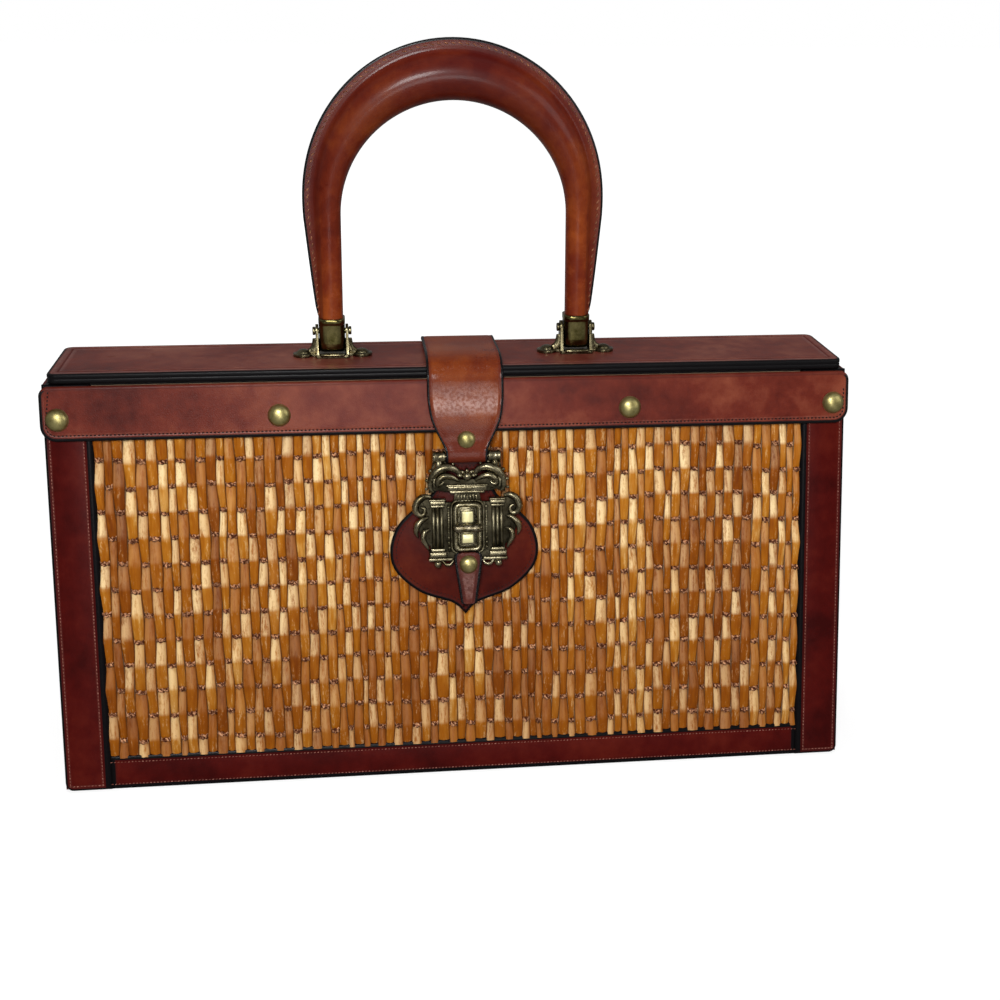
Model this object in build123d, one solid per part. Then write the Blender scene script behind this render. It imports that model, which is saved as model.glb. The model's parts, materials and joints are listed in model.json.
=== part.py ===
from build123d import *
import math
import os

# A box bag: reed matting on a leaning front and back, leather bound edges, a narrow hinged lid
# with a rolled handle, and a strap that ends in a cast hasp over a turn knob.
# The origin is the middle of the underside. +X is to the right of someone facing the front,
# +Y goes from the front to the back and +Z is up.

# Box
box_width = 338.0            # over the leather of the two ends
rim_depth = 46.0             # front to back over the strips at the rim
rim_height = 171.4           # underside to the rim
face_lean = 9.5              # degrees that the front and back lean in
board_thickness = 3.0
end_leather_thickness = 1.6
bottom_leather_thickness = 1.4
lining_thickness = 0.6
mat_thickness = 2.0
strip_thickness = 2.2
side_strip_width = 19.5
bottom_strip_height = 14.6

# Top bands and their tacks
band_thickness = 2.0
band_height = 22.6
band_overhang = 1.0          # past the box at each end
band_corner = 6.5
band_below_rim = 0.5
tack_radius = 4.75
tack_dome = 2.9
tack_spike_radius = 0.9
tack_spike_length = 6.0
tack_from_band_end = 7.0
tack_inner_spread = 73.7     # from the middle to the inner tacks
tack_height_in_band = 9.0    # up from the band's lower edge

# Lid
lid_end_setback = 2.5        # in from each end of the box
lid_overhang = 0.5           # past the rim, front and back
lid_gap = 0.3
lid_lining_thickness = 0.8
lid_board_thickness = 1.9
lid_leather_thickness = 1.3
lid_corner = 3.5

# Long hinge at the back rim
hinge_end_setback = 9.0
hinge_knuckles = 17
hinge_knuckle_gap = 0.3
hinge_barrel_radius = 2.2
hinge_pin_radius = 1.0
hinge_pin_clearance = 0.06
hinge_leaf_thickness = 0.8
hinge_leaf_width = 9.0
hinge_swing_clearance = 0.3
hinge_screw_count = 8
hinge_screw_head_radius = 1.4
hinge_screw_head = 0.4
hinge_screw_radius = 0.6
hinge_screw_length = 5.0
hinge_screw_from_end = 15.0
lid_screw_length = 1.5

# Strap
clasp_offset = 3.5           # the strap and hasp sit a little right of the middle
strap_thickness = 1.5
strap_half_width = 16.0
strap_loop_half_width = 8.7
strap_bend = 6.0
strap_clearance = 0.4        # between the strap and the band
strap_back_setback = 0.5     # from the lid's back edge
strap_lift = 2.4             # how far it bulges up over the lid's front edge
strap_taper_rise = 24.5      # these rises are above the bar, up the front face
strap_shoulder_rise = 11.5
stud_radius = 3.9
stud_dome = 2.2
stud_shank_radius = 0.9
strap_stud_rise = 7.1
strap_seat = 1.2             # the stud's head stands this far off the bar's middle

# Hasp
bar_below_rim = 33.3         # down the front face
bar_stand_off = 4.6
bar_radius = 1.1
bar_clearance = 0.08
hasp_stand_off = 3.0         # back of the casting, above the matting's plane
hasp_plate_thickness = 1.6
hasp_frame_rise = 3.0
hasp_pilaster_rise = 3.6
hasp_lug_gap = 0.3           # between a lug and the strap's loop
hasp_lug_width = 5.4
hasp_lug_radius = 2.7
window_drop = 30.3           # these drops are below the bar, down the front face
window_half_width = 4.0
window_half_height = 8.5
window_rim = 2.2
pilaster_spread = 13.3
pilaster_radius = 2.9
pilaster_drop = 31.7
pilaster_length = 22.0
pilaster_cap_width = 6.6
pilaster_cap_drop = 19.9
pilaster_cap_height = 2.2
pilaster_base_drop = 42.9
pilaster_base_height = 2.4
pilaster_cap_proud = 0.3
cornice_drop = 13.5
cornice_width = 16.2
cornice_height = 3.4
cornice_rise = 3.2
rosette_drop = 8.7
rosette_radius = 2.2
rosette_centre_rise = 1.4
scroll_spread = 19.6
scroll_upper_drop = 20.3
scroll_lower_drop = 33.9
scroll_radius = 2.2
scroll_rise = 2.8
hasp_hole_spread = 10.0
hasp_hole_drop = 16.9
hasp_foot_drop = 45.3
hasp_foot_radius = 1.9
tab_stud_drop = 46.2
tab_top_drop = 42.1
tab_length = 22.4
tab_top_half_width = 6.2
tab_bottom_half_width = 3.2
tab_thickness = 1.8

# Clasp on the front
patch_offset = 2.3
patch_thickness = 1.6
base_plate_half_width = 9.0
base_plate_half_height = 13.0
base_plate_thickness = 1.0
base_plate_corner = 2.5
boss_side_gap = 1.45         # between the raised centre and the window round it
boss_end_gap = 1.6
boss_rise = 2.6
prong_width = 3.0
prong_thickness = 0.8
prong_from_boss = 2.6
knob_length = 12.8
knob_undercut = 2.2
knob_height = 3.2
knob_thickness = 3.0
knob_stem_radius = 1.6
knob_stem_clearance = 0.06
knob_above_frame = 0.3
stem_hole_radius = 2.4
back_plate_radius = 8.0
back_plate_width = 7.0
back_plate_past_prong = 2.5
back_plate_thickness = 0.8
lining_window_margin = 1.0
retainer_radius = 3.2
retainer_thickness = 0.8
retainer_gap = 0.1

# Handle
handle_offset = 1.2          # right of the middle
handle_spread = 52.5         # from the handle's middle to each leg
arch_inner_radius = 47.3
arch_centre_height = 59.4    # above the lid
leg_tube_radius = 5.1
leg_end_tube_radius = 4.9
arch_tube_gain = 4.7         # how much thicker the tube is at the top of the arch
seam_height = 5.4            # how far the stitched seam stands out along the arch
seam_height_at_leg_end = 1.0
seam_start_gap = 0.4         # above the ferrule
seam_thickness = 2.8
handle_leather_thickness = 1.6
core_clearance = 0.15

# Handle brackets, pins and ferrules
pin_height = 10.8            # above the lid
pin_radius = 1.2
pin_clearance = 0.06
pin_head_radius = 1.8
pin_head = 1.2
ferrule_side_wall = 0.6      # round the end of the leg
ferrule_face_wall = 0.6
ferrule_corner = 3.6
ferrule_top = 16.8
ferrule_nose_clearance = 0.4
ferrule_socket_bottom = 12.6
ferrule_fit = 0.17
bracket_base_thickness = 1.2
bracket_base_margin = 0.4
bracket_tongue_width = 4.6
bracket_ear_gap = 0.25
bracket_ear_thickness = 1.2
bracket_ear_top_radius = 2.9
bracket_lip_height = 0.8
bracket_lip_depth = 0.9
bracket_lug_radius = 4.4
bracket_lug_from_ear = 5.45
rivet_radius = 3.1
rivet_dome = 1.8
rivet_shank_radius = 0.9
hole_fit = 0.03              # between a fixed shank and its hole

# Worked out from the sizes above
lean = math.radians(face_lean)
lean_cos = math.cos(lean)
lean_sin = math.sin(lean)
lean_tan = math.tan(lean)
base_half_depth = rim_depth / 2 + rim_height * lean_tan
half_width = box_width / 2
board_half_width = half_width - end_leather_thickness
end_inner_half_width = board_half_width - board_thickness
strip_inner_half_width = half_width - side_strip_width
board_outer = -strip_thickness
board_inner = board_outer - board_thickness
mat_outer = board_outer + mat_thickness
floor_top = bottom_leather_thickness + board_thickness
back_rim_height = rim_height - hinge_leaf_thickness
lid_length = box_width - 2 * lid_end_setback
lid_depth = rim_depth + 2 * lid_overhang
lid_bottom = rim_height + lid_gap
lid_board_bottom = lid_bottom + lid_lining_thickness
lid_leather_bottom = lid_board_bottom + lid_board_thickness
lid_top = lid_leather_bottom + lid_leather_thickness
band_top = (rim_height - band_below_rim - band_thickness * lean_sin) / lean_cos
band_bottom = band_top - band_height
tack_outer_spread = half_width + band_overhang - tack_from_band_end
hinge_length = box_width - 2 * hinge_end_setback
hinge_axis_y = rim_depth / 2 + band_thickness / lean_cos + hinge_barrel_radius + hinge_swing_clearance
hinge_axis_z = rim_height
bar_height = rim_height / lean_cos - bar_below_rim
strap_stud_height = bar_height + strap_stud_rise
window_height = bar_height - window_drop
tab_stud_height = bar_height - tab_stud_drop
tab_top = bar_height - tab_top_drop
tab_bottom = tab_top - tab_length
hasp_lug_inner = strap_loop_half_width + hasp_lug_gap
hasp_lug_outer = hasp_lug_inner + hasp_lug_width
boss_half_width = window_half_width - boss_side_gap
boss_half_height = window_half_height - boss_end_gap
prong_spread = boss_half_height + prong_from_boss
hasp_front = hasp_stand_off + hasp_plate_thickness
patch_front = patch_thickness
base_plate_front = patch_front + base_plate_thickness
knob_back = hasp_stand_off + hasp_frame_rise + knob_above_frame
ferrule_half_width = leg_end_tube_radius + ferrule_side_wall
ferrule_half_depth = leg_end_tube_radius + ferrule_face_wall
ferrule_nose_radius = pin_height - bracket_base_thickness - ferrule_nose_clearance
bracket_base_half_depth = ferrule_half_depth + bracket_base_margin
bracket_ear_inner = ferrule_half_width + bracket_ear_gap
bracket_ear_outer = bracket_ear_inner + bracket_ear_thickness
bracket_lug_spread = bracket_ear_outer + bracket_lug_from_ear

# Half outlines: out from the middle, and up the front face from the middle of the window
patch_belly = [
    (0, -38.8), (5.5, -33.6), (19.0, -28.6), (29.0, -19.7), (31.7, -10.7), (29.0, -0.7), (22.3, 6.8)
]
patch_neck = [(22.3, 6.8), (15.0, 12.3), (11.5, 18.8), (11.0, 26.8)]
patch_top = 31.0
hasp_foot_outline = [(0.0, -20.2), (4.6, -19.0), (5.2, -14.6), (16.4, -14.6), (16.8, -7.7)]
hasp_scroll_outline = [(20.5, -7.4), (22.4, -3.7), (19.8, 2.8), (22.2, 9.3), (20.2, 13.8), (15.2, 16.0)]
hasp_lug_line = 27.8
hasp_crest_outline = [(8.4, 21.6), (2.2, 21.0), (0.0, 24.0)]
hasp_hole_outline = [(-3.0, -2.0), (3.0, -2.0), (1.6, 2.0), (-1.6, 2.0)]

front_face = Plane(
    origin=(0, -base_half_depth, 0), x_dir=(1, 0, 0), z_dir=(0, -lean_cos, lean_sin)
)


def face_point(height, stand_off):
    """Y and Z of a point that lies this far up the front face and stands off it by this much."""
    y = -base_half_depth + height * lean_sin - stand_off * lean_cos
    z = height * lean_cos + stand_off * lean_sin
    return y, z


def wall_y(stand_off, z):
    """Y of the front wall's layer at this stand-off, at a level height z."""
    return -(base_half_depth - z * lean_tan) - stand_off / lean_cos


def level_slab(points, x_low, x_high):
    """A profile in Y and Z, carried from x_low to x_high."""
    face = make_face(Polyline(*points, close=True))
    return Pos(x_low, 0, 0) * extrude(Plane.YZ * face, amount=x_high - x_low)


def front_slab(inner, outer, low, high, x_low, x_high):
    """A layer of the front wall, cut level at its top and bottom."""
    points = [
        (wall_y(inner, low), low),
        (wall_y(outer, low), low),
        (wall_y(outer, high), high),
        (wall_y(inner, high), high),
    ]
    return level_slab(points, x_low, x_high)


def between_walls(stand_off, low, high, x_low, x_high):
    """A block that fills the box between the front and back layers at this stand-off."""
    near_low = wall_y(stand_off, low)
    near_high = wall_y(stand_off, high)
    points = [(near_low, low), (near_high, high), (-near_high, high), (-near_low, low)]
    return level_slab(points, x_low, x_high)


def on_front(sketch, low, high):
    """A sketch on the front face, carried from one stand-off to another."""
    return front_face * (Pos(0, 0, low) * extrude(sketch, amount=high - low))


def front_pin(x, height, radius, low, high):
    """A round pin square to the front face."""
    return on_front(Pos(x, height) * Circle(radius), low, high)


def to_back(shape):
    """The same piece on the back wall."""
    return mirror(shape, about=Plane.XZ)


def dome(radius, rise, skirt=0.5):
    """A domed head that stands on Z = 0, with a short straight skirt."""
    crown = rise - skirt
    ball_radius = (radius * radius + crown * crown) / (2 * crown)
    ball = Pos(0, 0, rise - ball_radius) * Sphere(ball_radius)
    column = Pos(0, 0, rise / 2) * Cylinder(radius, rise)
    return ball & column


def front_stud(x, height, stand_off, radius, rise, shank_radius, shank_length):
    """A domed stud on the front, with its shank going in behind it."""
    head = dome(radius, rise)
    shank = Pos(0, 0, -shank_length / 2) * Cylinder(shank_radius, shank_length)
    return front_face * (Pos(x, height, stand_off) * (head + shank))


def cut_for(piece, tools):
    """The piece with holes for what goes through it."""
    for tool in tools:
        piece = piece - tool
    return piece


# Tacks go in first, because several layers have their holes.
def tack_places():
    spreads = (-tack_outer_spread, -tack_inner_spread, tack_inner_spread, tack_outer_spread)
    return [(x, band_bottom + tack_height_in_band) for x in spreads]


def band_tacks():
    return [
        front_stud(x, v, band_thickness, tack_radius, tack_dome, tack_spike_radius, tack_spike_length)
        for x, v in tack_places()
    ]


def tack_holes():
    radius = tack_spike_radius + hole_fit
    depth = band_thickness - tack_spike_length
    return [front_pin(x, v, radius, depth, band_thickness) for x, v in tack_places()]


# Clasp pieces on the front wall
def prong(side, grow=0.0):
    x = clasp_offset
    height = window_height + side * prong_spread
    low = board_inner - back_plate_thickness
    outline = Rectangle(prong_width + 2 * grow, prong_thickness + 2 * grow)
    return on_front(Pos(x, height) * outline, low, patch_front)


def stem_hole(radius, low, high):
    return front_pin(clasp_offset, window_height, radius, low, high)


def clasp_holes():
    holes = [prong(side, hole_fit) for side in (-1, 1)]
    holes.append(stem_hole(stem_hole_radius, board_inner, patch_front))
    return holes


def clasp_base_plate():
    at = Pos(clasp_offset, window_height)
    outline = RectangleRounded(2 * base_plate_half_width, 2 * base_plate_half_height, base_plate_corner)
    plate = on_front(at * outline, patch_front, base_plate_front)
    boss = on_front(
        at * Rectangle(2 * boss_half_width, 2 * boss_half_height),
        base_plate_front,
        base_plate_front + boss_rise,
    )
    piece = plate + boss + prong(-1) + prong(1)
    bore = stem_hole(knob_stem_radius + knob_stem_clearance, patch_front, base_plate_front + boss_rise)
    return piece - bore


def clasp_back_plate():
    low = board_inner - back_plate_thickness
    disc = front_pin(clasp_offset, window_height, back_plate_radius, low, board_inner)
    outline = Rectangle(back_plate_width, 2 * (prong_spread + back_plate_past_prong))
    plate = on_front(Pos(clasp_offset, window_height) * outline, low, board_inner)
    piece = disc + plate
    tools = [prong(side, hole_fit) for side in (-1, 1)]
    tools.append(stem_hole(knob_stem_radius + knob_stem_clearance, low, board_inner))
    return cut_for(piece, tools)


def turn_knob():
    outline = SlotOverall(knob_length, knob_height)
    outer = Pos(clasp_offset, window_height) * outline
    inner = Pos(clasp_offset, window_height) * SlotOverall(knob_length - 2 * knob_undercut, knob_height)
    bar_front = Pos(0, 0, knob_back + knob_thickness) * outer
    bar_back = Pos(0, 0, knob_back) * inner
    bar = front_face * loft([bar_back.face(), bar_front.face()])
    low = board_inner - back_plate_thickness - retainer_gap - retainer_thickness
    stem = stem_hole(knob_stem_radius, low, knob_back + 0.5)
    return bar + stem


def knob_retainer():
    high = board_inner - back_plate_thickness - retainer_gap
    ring = front_pin(clasp_offset, window_height, retainer_radius, high - retainer_thickness, high)
    return ring - stem_hole(knob_stem_radius, high - retainer_thickness, high)


def patch_outline():
    """A spade shaped patch: a rounded belly, a point below and a neck that goes under the hasp."""
    neck_width, neck_start = patch_neck[-1]
    edges = []
    for side in (1, -1):
        edges.append(Spline(*[(side * x, v) for x, v in patch_belly]))
        edges.append(Spline(*[(side * x, v) for x, v in patch_neck]))
        edges.append(Line((side * neck_width, neck_start), (side * neck_width, patch_top)))
    edges.append(Line((-neck_width, patch_top), (neck_width, patch_top)))
    return Pos(patch_offset, window_height) * make_face(Wire(edges))


def clasp_patch():
    return cut_for(on_front(patch_outline(), 0, patch_thickness), clasp_holes())


# Box walls
def bottom_board():
    low = bottom_leather_thickness
    return between_walls(board_inner, low, floor_top, -board_half_width, board_half_width)


def wall_board(height):
    return front_slab(
        board_inner, board_outer, bottom_leather_thickness, height, -board_half_width, board_half_width
    )


def end_board(side):
    x = sorted((side * end_inner_half_width, side * board_half_width))
    return between_walls(board_inner, floor_top, back_rim_height, x[0], x[1])


def end_leather(side):
    x = sorted((side * board_half_width, side * half_width))
    return between_walls(board_outer, 0, back_rim_height, x[0], x[1])


def bottom_leather():
    return between_walls(board_outer, 0, bottom_leather_thickness, -board_half_width, board_half_width)


def lining():
    inner_face = board_inner - lining_thickness
    reach = end_inner_half_width
    outside = between_walls(board_inner, floor_top, back_rim_height, -reach, reach)
    reach = reach - lining_thickness
    inside = between_walls(inner_face, floor_top + lining_thickness, rim_height, -reach, reach)
    width = 2 * (back_plate_radius + lining_window_margin)
    length = 2 * (prong_spread + back_plate_past_prong + lining_window_margin)
    window = on_front(
        Pos(clasp_offset, window_height) * Rectangle(width, length), inner_face - 1, board_inner
    )
    return outside - inside - window


def reed_mat(height):
    return front_slab(
        board_outer,
        mat_outer,
        bottom_strip_height,
        height,
        -strip_inner_half_width,
        strip_inner_half_width,
    )


def side_strip(side, height):
    x = sorted((side * strip_inner_half_width, side * half_width))
    return front_slab(board_outer, 0, 0, height, x[0], x[1])


def bottom_strip():
    return front_slab(
        board_outer, 0, 0, bottom_strip_height, -strip_inner_half_width, strip_inner_half_width
    )


def top_band(shorter=0.0):
    middle = (band_top + band_bottom) / 2
    outline = RectangleRounded(box_width + 2 * band_overhang, band_height, band_corner)
    band = on_front(Pos(0, middle) * outline, 0, band_thickness)
    return band - Pos(0, 0, rim_height - shorter + 5) * Box(2 * box_width, 200, 10)


# Hinge
def knuckle_spans(first):
    pitch = hinge_length / hinge_knuckles
    spans = []
    for index in range(first, hinge_knuckles, 2):
        start = -hinge_length / 2 + index * pitch
        spans.append((start + hinge_knuckle_gap / 2, start + pitch - hinge_knuckle_gap / 2))
    return spans


def along_x(radius, x_low, x_high, y, z):
    turned = Rot(0, 90, 0) * Cylinder(radius, x_high - x_low)
    return Pos((x_low + x_high) / 2, y, z) * turned


def hinge_leaf(first, z_low):
    other = knuckle_spans(1 - first)
    edge = hinge_axis_y - hinge_barrel_radius - hinge_leaf_width
    plate = Pos(0, (edge + hinge_axis_y) / 2, z_low + hinge_leaf_thickness / 2) * Box(
        hinge_length, hinge_axis_y - edge, hinge_leaf_thickness
    )
    clear = hinge_barrel_radius + hinge_swing_clearance
    for low, high in other:
        grown = high - low + 2 * hinge_knuckle_gap
        plate = plate - Pos((low + high) / 2, hinge_axis_y, hinge_axis_z) * Box(grown, 2 * clear, 3 * clear)
    for low, high in knuckle_spans(first):
        plate = plate + along_x(hinge_barrel_radius, low, high, hinge_axis_y, hinge_axis_z)
    reach = hinge_length / 2 + 1
    return plate - along_x(hinge_pin_radius + hinge_pin_clearance, -reach, reach, hinge_axis_y, hinge_axis_z)


def hinge_pin():
    reach = hinge_length / 2
    return along_x(hinge_pin_radius, -reach, reach, hinge_axis_y, hinge_axis_z)


def screw_xs():
    reach = hinge_length / 2 - hinge_screw_from_end
    step = 2 * reach / (hinge_screw_count - 1)
    return [index * step - reach for index in range(hinge_screw_count)]


box_screw_y = rim_depth / 2 + (board_outer + board_inner) / 2 / lean_cos
lid_screw_y = hinge_axis_y - hinge_barrel_radius - hinge_leaf_width * 0.62


def screw_down(x, grow=0.0):
    head = Pos(0, 0, -hinge_screw_head / 2) * Cylinder(hinge_screw_head_radius + grow, hinge_screw_head)
    length = hinge_screw_length
    shank = Pos(0, 0, -length / 2) * Cylinder(hinge_screw_radius + grow, length)
    return Pos(x, box_screw_y, rim_height) * (head + shank)


def screw_up(x, grow=0.0):
    length = hinge_leaf_thickness + lid_screw_length
    head = Pos(0, 0, hinge_screw_head / 2) * Cylinder(hinge_screw_head_radius + grow, hinge_screw_head)
    shank = Pos(0, 0, length / 2) * Cylinder(hinge_screw_radius + grow, length)
    return Pos(x, lid_screw_y, lid_bottom) * (head + shank)


# Lid
def lid_layer(z_low, thickness, back_edge=None):
    outline = extrude(RectangleRounded(lid_length, lid_depth, lid_corner), amount=thickness)
    layer = Pos(0, 0, z_low) * outline
    if back_edge is not None:
        far = back_edge + lid_depth / 2
        layer = layer - Pos(0, far, z_low) * Box(lid_length + 2, lid_depth, 4 * thickness)
    return layer


def lid_leather():
    layer = lid_layer(lid_leather_bottom, lid_leather_thickness)
    return fillet(layer.edges().group_by(Axis.Z)[-1], lid_leather_thickness * 0.45)


# Strap
def strap_profile():
    half = strap_thickness / 2
    down = band_thickness + strap_clearance + half
    top_z = lid_top + half
    start = (lid_depth / 2 - strap_back_setback, top_z)
    corner_y = wall_y(down, top_z)
    corner = (corner_y, top_z + strap_lift)
    loop_radius = bar_radius + bar_clearance + half
    knee = face_point(strap_stud_height + 9.5, down)
    front_tangent = face_point(bar_height, bar_stand_off + loop_radius)
    path = FilletPolyline(start, corner, knee, front_tangent, radius=strap_bend)
    front_run = trace(path, line_width=strap_thickness)
    back_low = face_point(bar_height, bar_stand_off - loop_radius)
    back_high = face_point(strap_stud_height + 2.2, bar_stand_off - loop_radius)
    return_run = trace(Line(back_low, back_high), line_width=strap_thickness)
    ring = Pos(*face_point(bar_height, bar_stand_off)) * Circle(loop_radius + half)
    hole = Pos(*face_point(bar_height, bar_stand_off)) * Circle(bar_radius + bar_clearance)
    return front_run + return_run + ring - hole


def strap_side_cut(side):
    """What is trimmed off one side of the strap, which narrows from the rim to the loop round the bar."""
    outer = strap_half_width + 6.0
    top = bar_height + strap_taper_rise
    shoulder = bar_height + strap_shoulder_rise
    narrowing = strap_half_width - strap_loop_half_width
    taper = [
        (strap_half_width + 0.4, top),
        (strap_half_width - 0.8, top - 7.0),
        (strap_loop_half_width + 0.59 * narrowing, shoulder),
        (strap_loop_half_width + 0.26 * narrowing, shoulder - 5.0),
        (strap_loop_half_width, shoulder - 8.4),
    ]
    low = bar_height - 8.0
    edges = [
        Spline(*[(side * x, v) for x, v in taper]),
        Line((side * strap_loop_half_width, taper[-1][1]), (side * strap_loop_half_width, low)),
        Line((side * strap_loop_half_width, low), (side * outer, low)),
        Line((side * outer, low), (side * outer, top)),
        Line((side * outer, top), (side * taper[0][0], top)),
    ]
    return on_front(Pos(clasp_offset, 0) * make_face(Wire(edges)), -10.0, 20.0)


def strap():
    left = clasp_offset - strap_half_width
    whole = Pos(left, 0, 0) * extrude(Plane.YZ * strap_profile(), amount=2 * strap_half_width)
    return cut_for(whole, [strap_side_cut(side) for side in (-1, 1)])


def strap_stud_pieces():
    outer = bar_stand_off + strap_seat
    inner = bar_stand_off - bar_radius - bar_clearance - strap_thickness
    piece = front_stud(
        clasp_offset,
        strap_stud_height,
        outer,
        stud_radius,
        stud_dome,
        stud_shank_radius,
        outer - inner,
    )
    hole = front_pin(
        clasp_offset, strap_stud_height, stud_shank_radius + hole_fit, inner - 1, outer + stud_dome
    )
    seat = front_pin(clasp_offset, strap_stud_height, stud_radius + hole_fit, outer, outer + stud_dome + 2)
    return piece, [hole, seat]


# Hasp
def hasp_outline():
    """The casting seen from the front: side scrolls, shoulders, feet and the tongue for the tab."""
    right = hasp_foot_outline + hasp_scroll_outline
    right = right + [(hasp_lug_outer, hasp_lug_line), (hasp_lug_inner, hasp_lug_line)] + hasp_crest_outline
    points = right + [(-x, v) for x, v in reversed(right) if x > 0]
    return Pos(clasp_offset, window_height) * make_face(Polyline(*points, close=True))


def hasp_hole(side):
    """An open corner of the tracery beside the cornice."""
    corners = make_face(Polyline(*hasp_hole_outline, close=True))
    return Pos(clasp_offset + side * hasp_hole_spread, bar_height - hasp_hole_drop) * corners


def window_frame(grow=0.0):
    return RectangleRounded(
        2 * (window_half_width + window_rim + grow), 2 * (window_half_height + window_rim + grow), 2.0
    )


def pilaster(side):
    """A half round column with its cap, base, ball foot and scrolls."""
    low = hasp_stand_off
    high = low + hasp_pilaster_rise
    x = clasp_offset + side * pilaster_spread
    column = front_face * (
        Pos(x, bar_height - pilaster_drop, high - pilaster_radius)
        * (Rot(90, 0, 0) * Cylinder(pilaster_radius, pilaster_length))
    )
    column = column & on_front(Pos(x, bar_height - pilaster_drop) * Rectangle(8, 30), low, high + 1)
    rings = ((pilaster_base_drop, pilaster_base_height), (pilaster_cap_drop, pilaster_cap_height))
    for drop, height in rings:
        ring = Pos(x, bar_height - drop) * Rectangle(pilaster_cap_width, height)
        column = column + on_front(ring, low, high + pilaster_cap_proud)
    for drop in (scroll_upper_drop, scroll_lower_drop):
        scroll_x = clasp_offset + side * scroll_spread
        column = column + front_pin(scroll_x, bar_height - drop, scroll_radius, low, low + scroll_rise)
    foot = Pos(x, bar_height - hasp_foot_drop, low + hasp_foot_radius) * Sphere(hasp_foot_radius)
    return column + front_face * foot


def hasp_lug(side):
    x = clasp_offset + side * (hasp_lug_inner + hasp_lug_outer) / 2
    barrel = Rot(0, 90, 0) * Cylinder(hasp_lug_radius, hasp_lug_width)
    neck_height = bar_height - hasp_lug_radius - 0.8
    neck = on_front(Pos(x, neck_height) * Rectangle(hasp_lug_width, 5.0), hasp_stand_off, hasp_front)
    return front_face * (Pos(x, bar_height, bar_stand_off) * barrel) + neck


def hasp():
    at = Pos(clasp_offset, 0)
    low = hasp_stand_off
    piece = on_front(hasp_outline(), low, hasp_front)
    piece = piece + on_front(at * Pos(0, window_height) * window_frame(), low, low + hasp_frame_rise)
    cornice = at * Pos(0, bar_height - cornice_drop) * Rectangle(cornice_width, cornice_height)
    piece = piece + on_front(cornice, low, low + cornice_rise)
    rosette_height = bar_height - rosette_drop
    centre = Pos(clasp_offset, rosette_height, low + rosette_centre_rise)
    rosette = front_face * (centre * Sphere(rosette_radius))
    piece = piece + (rosette & on_front(at * Pos(0, rosette_height) * Rectangle(8, 8), low, low + 8))
    for side in (-1, 1):
        piece = piece + pilaster(side) + hasp_lug(side)
    window = RectangleRounded(2 * window_half_width, 2 * window_half_height, 1.2)
    holes = [on_front(hasp_hole(side), low - 1, low + 8) for side in (-1, 1)]
    holes.append(on_front(at * Pos(0, window_height) * window, low - 1, low + 8))
    holes.append(hasp_bar_shape(hole_fit))
    holes.append(front_pin(clasp_offset, tab_stud_height, stud_shank_radius + hole_fit, low - 1, low + 8))
    return cut_for(piece, holes)


def hasp_bar_shape(grow=0.0):
    length = 2 * (hasp_lug_outer - 0.6)
    return front_face * (
        Pos(clasp_offset, bar_height, bar_stand_off) * (Rot(0, 90, 0) * Cylinder(bar_radius + grow, length))
    )


def pull_tab():
    corners = [
        (-tab_top_half_width, tab_top),
        (tab_top_half_width, tab_top),
        (tab_bottom_half_width, tab_bottom),
        (-tab_bottom_half_width, tab_bottom),
    ]
    outline = make_face(Polyline(*corners, close=True))
    tab = on_front(Pos(clasp_offset, 0) * outline, hasp_front, hasp_front + tab_thickness)
    frame = on_front(Pos(clasp_offset, window_height) * window_frame(0.2), hasp_front, hasp_front + 5)
    hole = front_pin(clasp_offset, tab_stud_height, stud_shank_radius + hole_fit, hasp_front - 1, 12)
    return tab - frame - hole


def pull_tab_stud():
    return front_stud(
        clasp_offset,
        tab_stud_height,
        hasp_front + tab_thickness,
        stud_radius,
        stud_dome,
        stud_shank_radius,
        tab_thickness + hasp_plate_thickness,
    )


# Handle
def handle_stations():
    """Centre, tube radius and direction of travel at each section, from the left foot to the right."""
    stations = []
    foot = ferrule_socket_bottom + 0.2
    straight = arch_centre_height - ferrule_top
    seam_foot = ferrule_top + seam_start_gap
    for z in (foot, seam_foot, ferrule_top + 0.3 * straight, ferrule_top + 0.65 * straight):
        share = (z - foot) / (arch_centre_height - foot)
        radius = leg_end_tube_radius + (leg_tube_radius - leg_end_tube_radius) * share
        x = handle_spread + (arch_inner_radius + leg_tube_radius - handle_spread) * share
        stations.append((-x, z, radius, 90.0))
    for step in range(0, 9):
        angle = 180.0 - 22.5 * step
        rise = math.sin(math.radians(angle)) ** 1.3 if 0 < step < 8 else 0.0
        radius = leg_tube_radius + arch_tube_gain * rise
        reach = arch_inner_radius + radius
        x = reach * math.cos(math.radians(angle))
        z = arch_centre_height + reach * math.sin(math.radians(angle))
        stations.append((x, z, radius, angle - 90.0))
    for x, z, radius, _ in reversed(stations[:4]):
        stations.append((-x, z, radius, -90.0))
    return [(x + handle_offset, z, radius, heading) for x, z, radius, heading in stations]


def handle_tube(thinner=0.0):
    sections = []
    for x, z, radius, heading in handle_stations():
        turn = math.radians(heading)
        plane = Plane(
            origin=(x, 0, lid_top + z),
            x_dir=(0, 1, 0),
            z_dir=(math.cos(turn), 0, math.sin(turn)),
        )
        sections.append((plane * Circle(radius - thinner)).face())
    return loft(sections)


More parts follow.
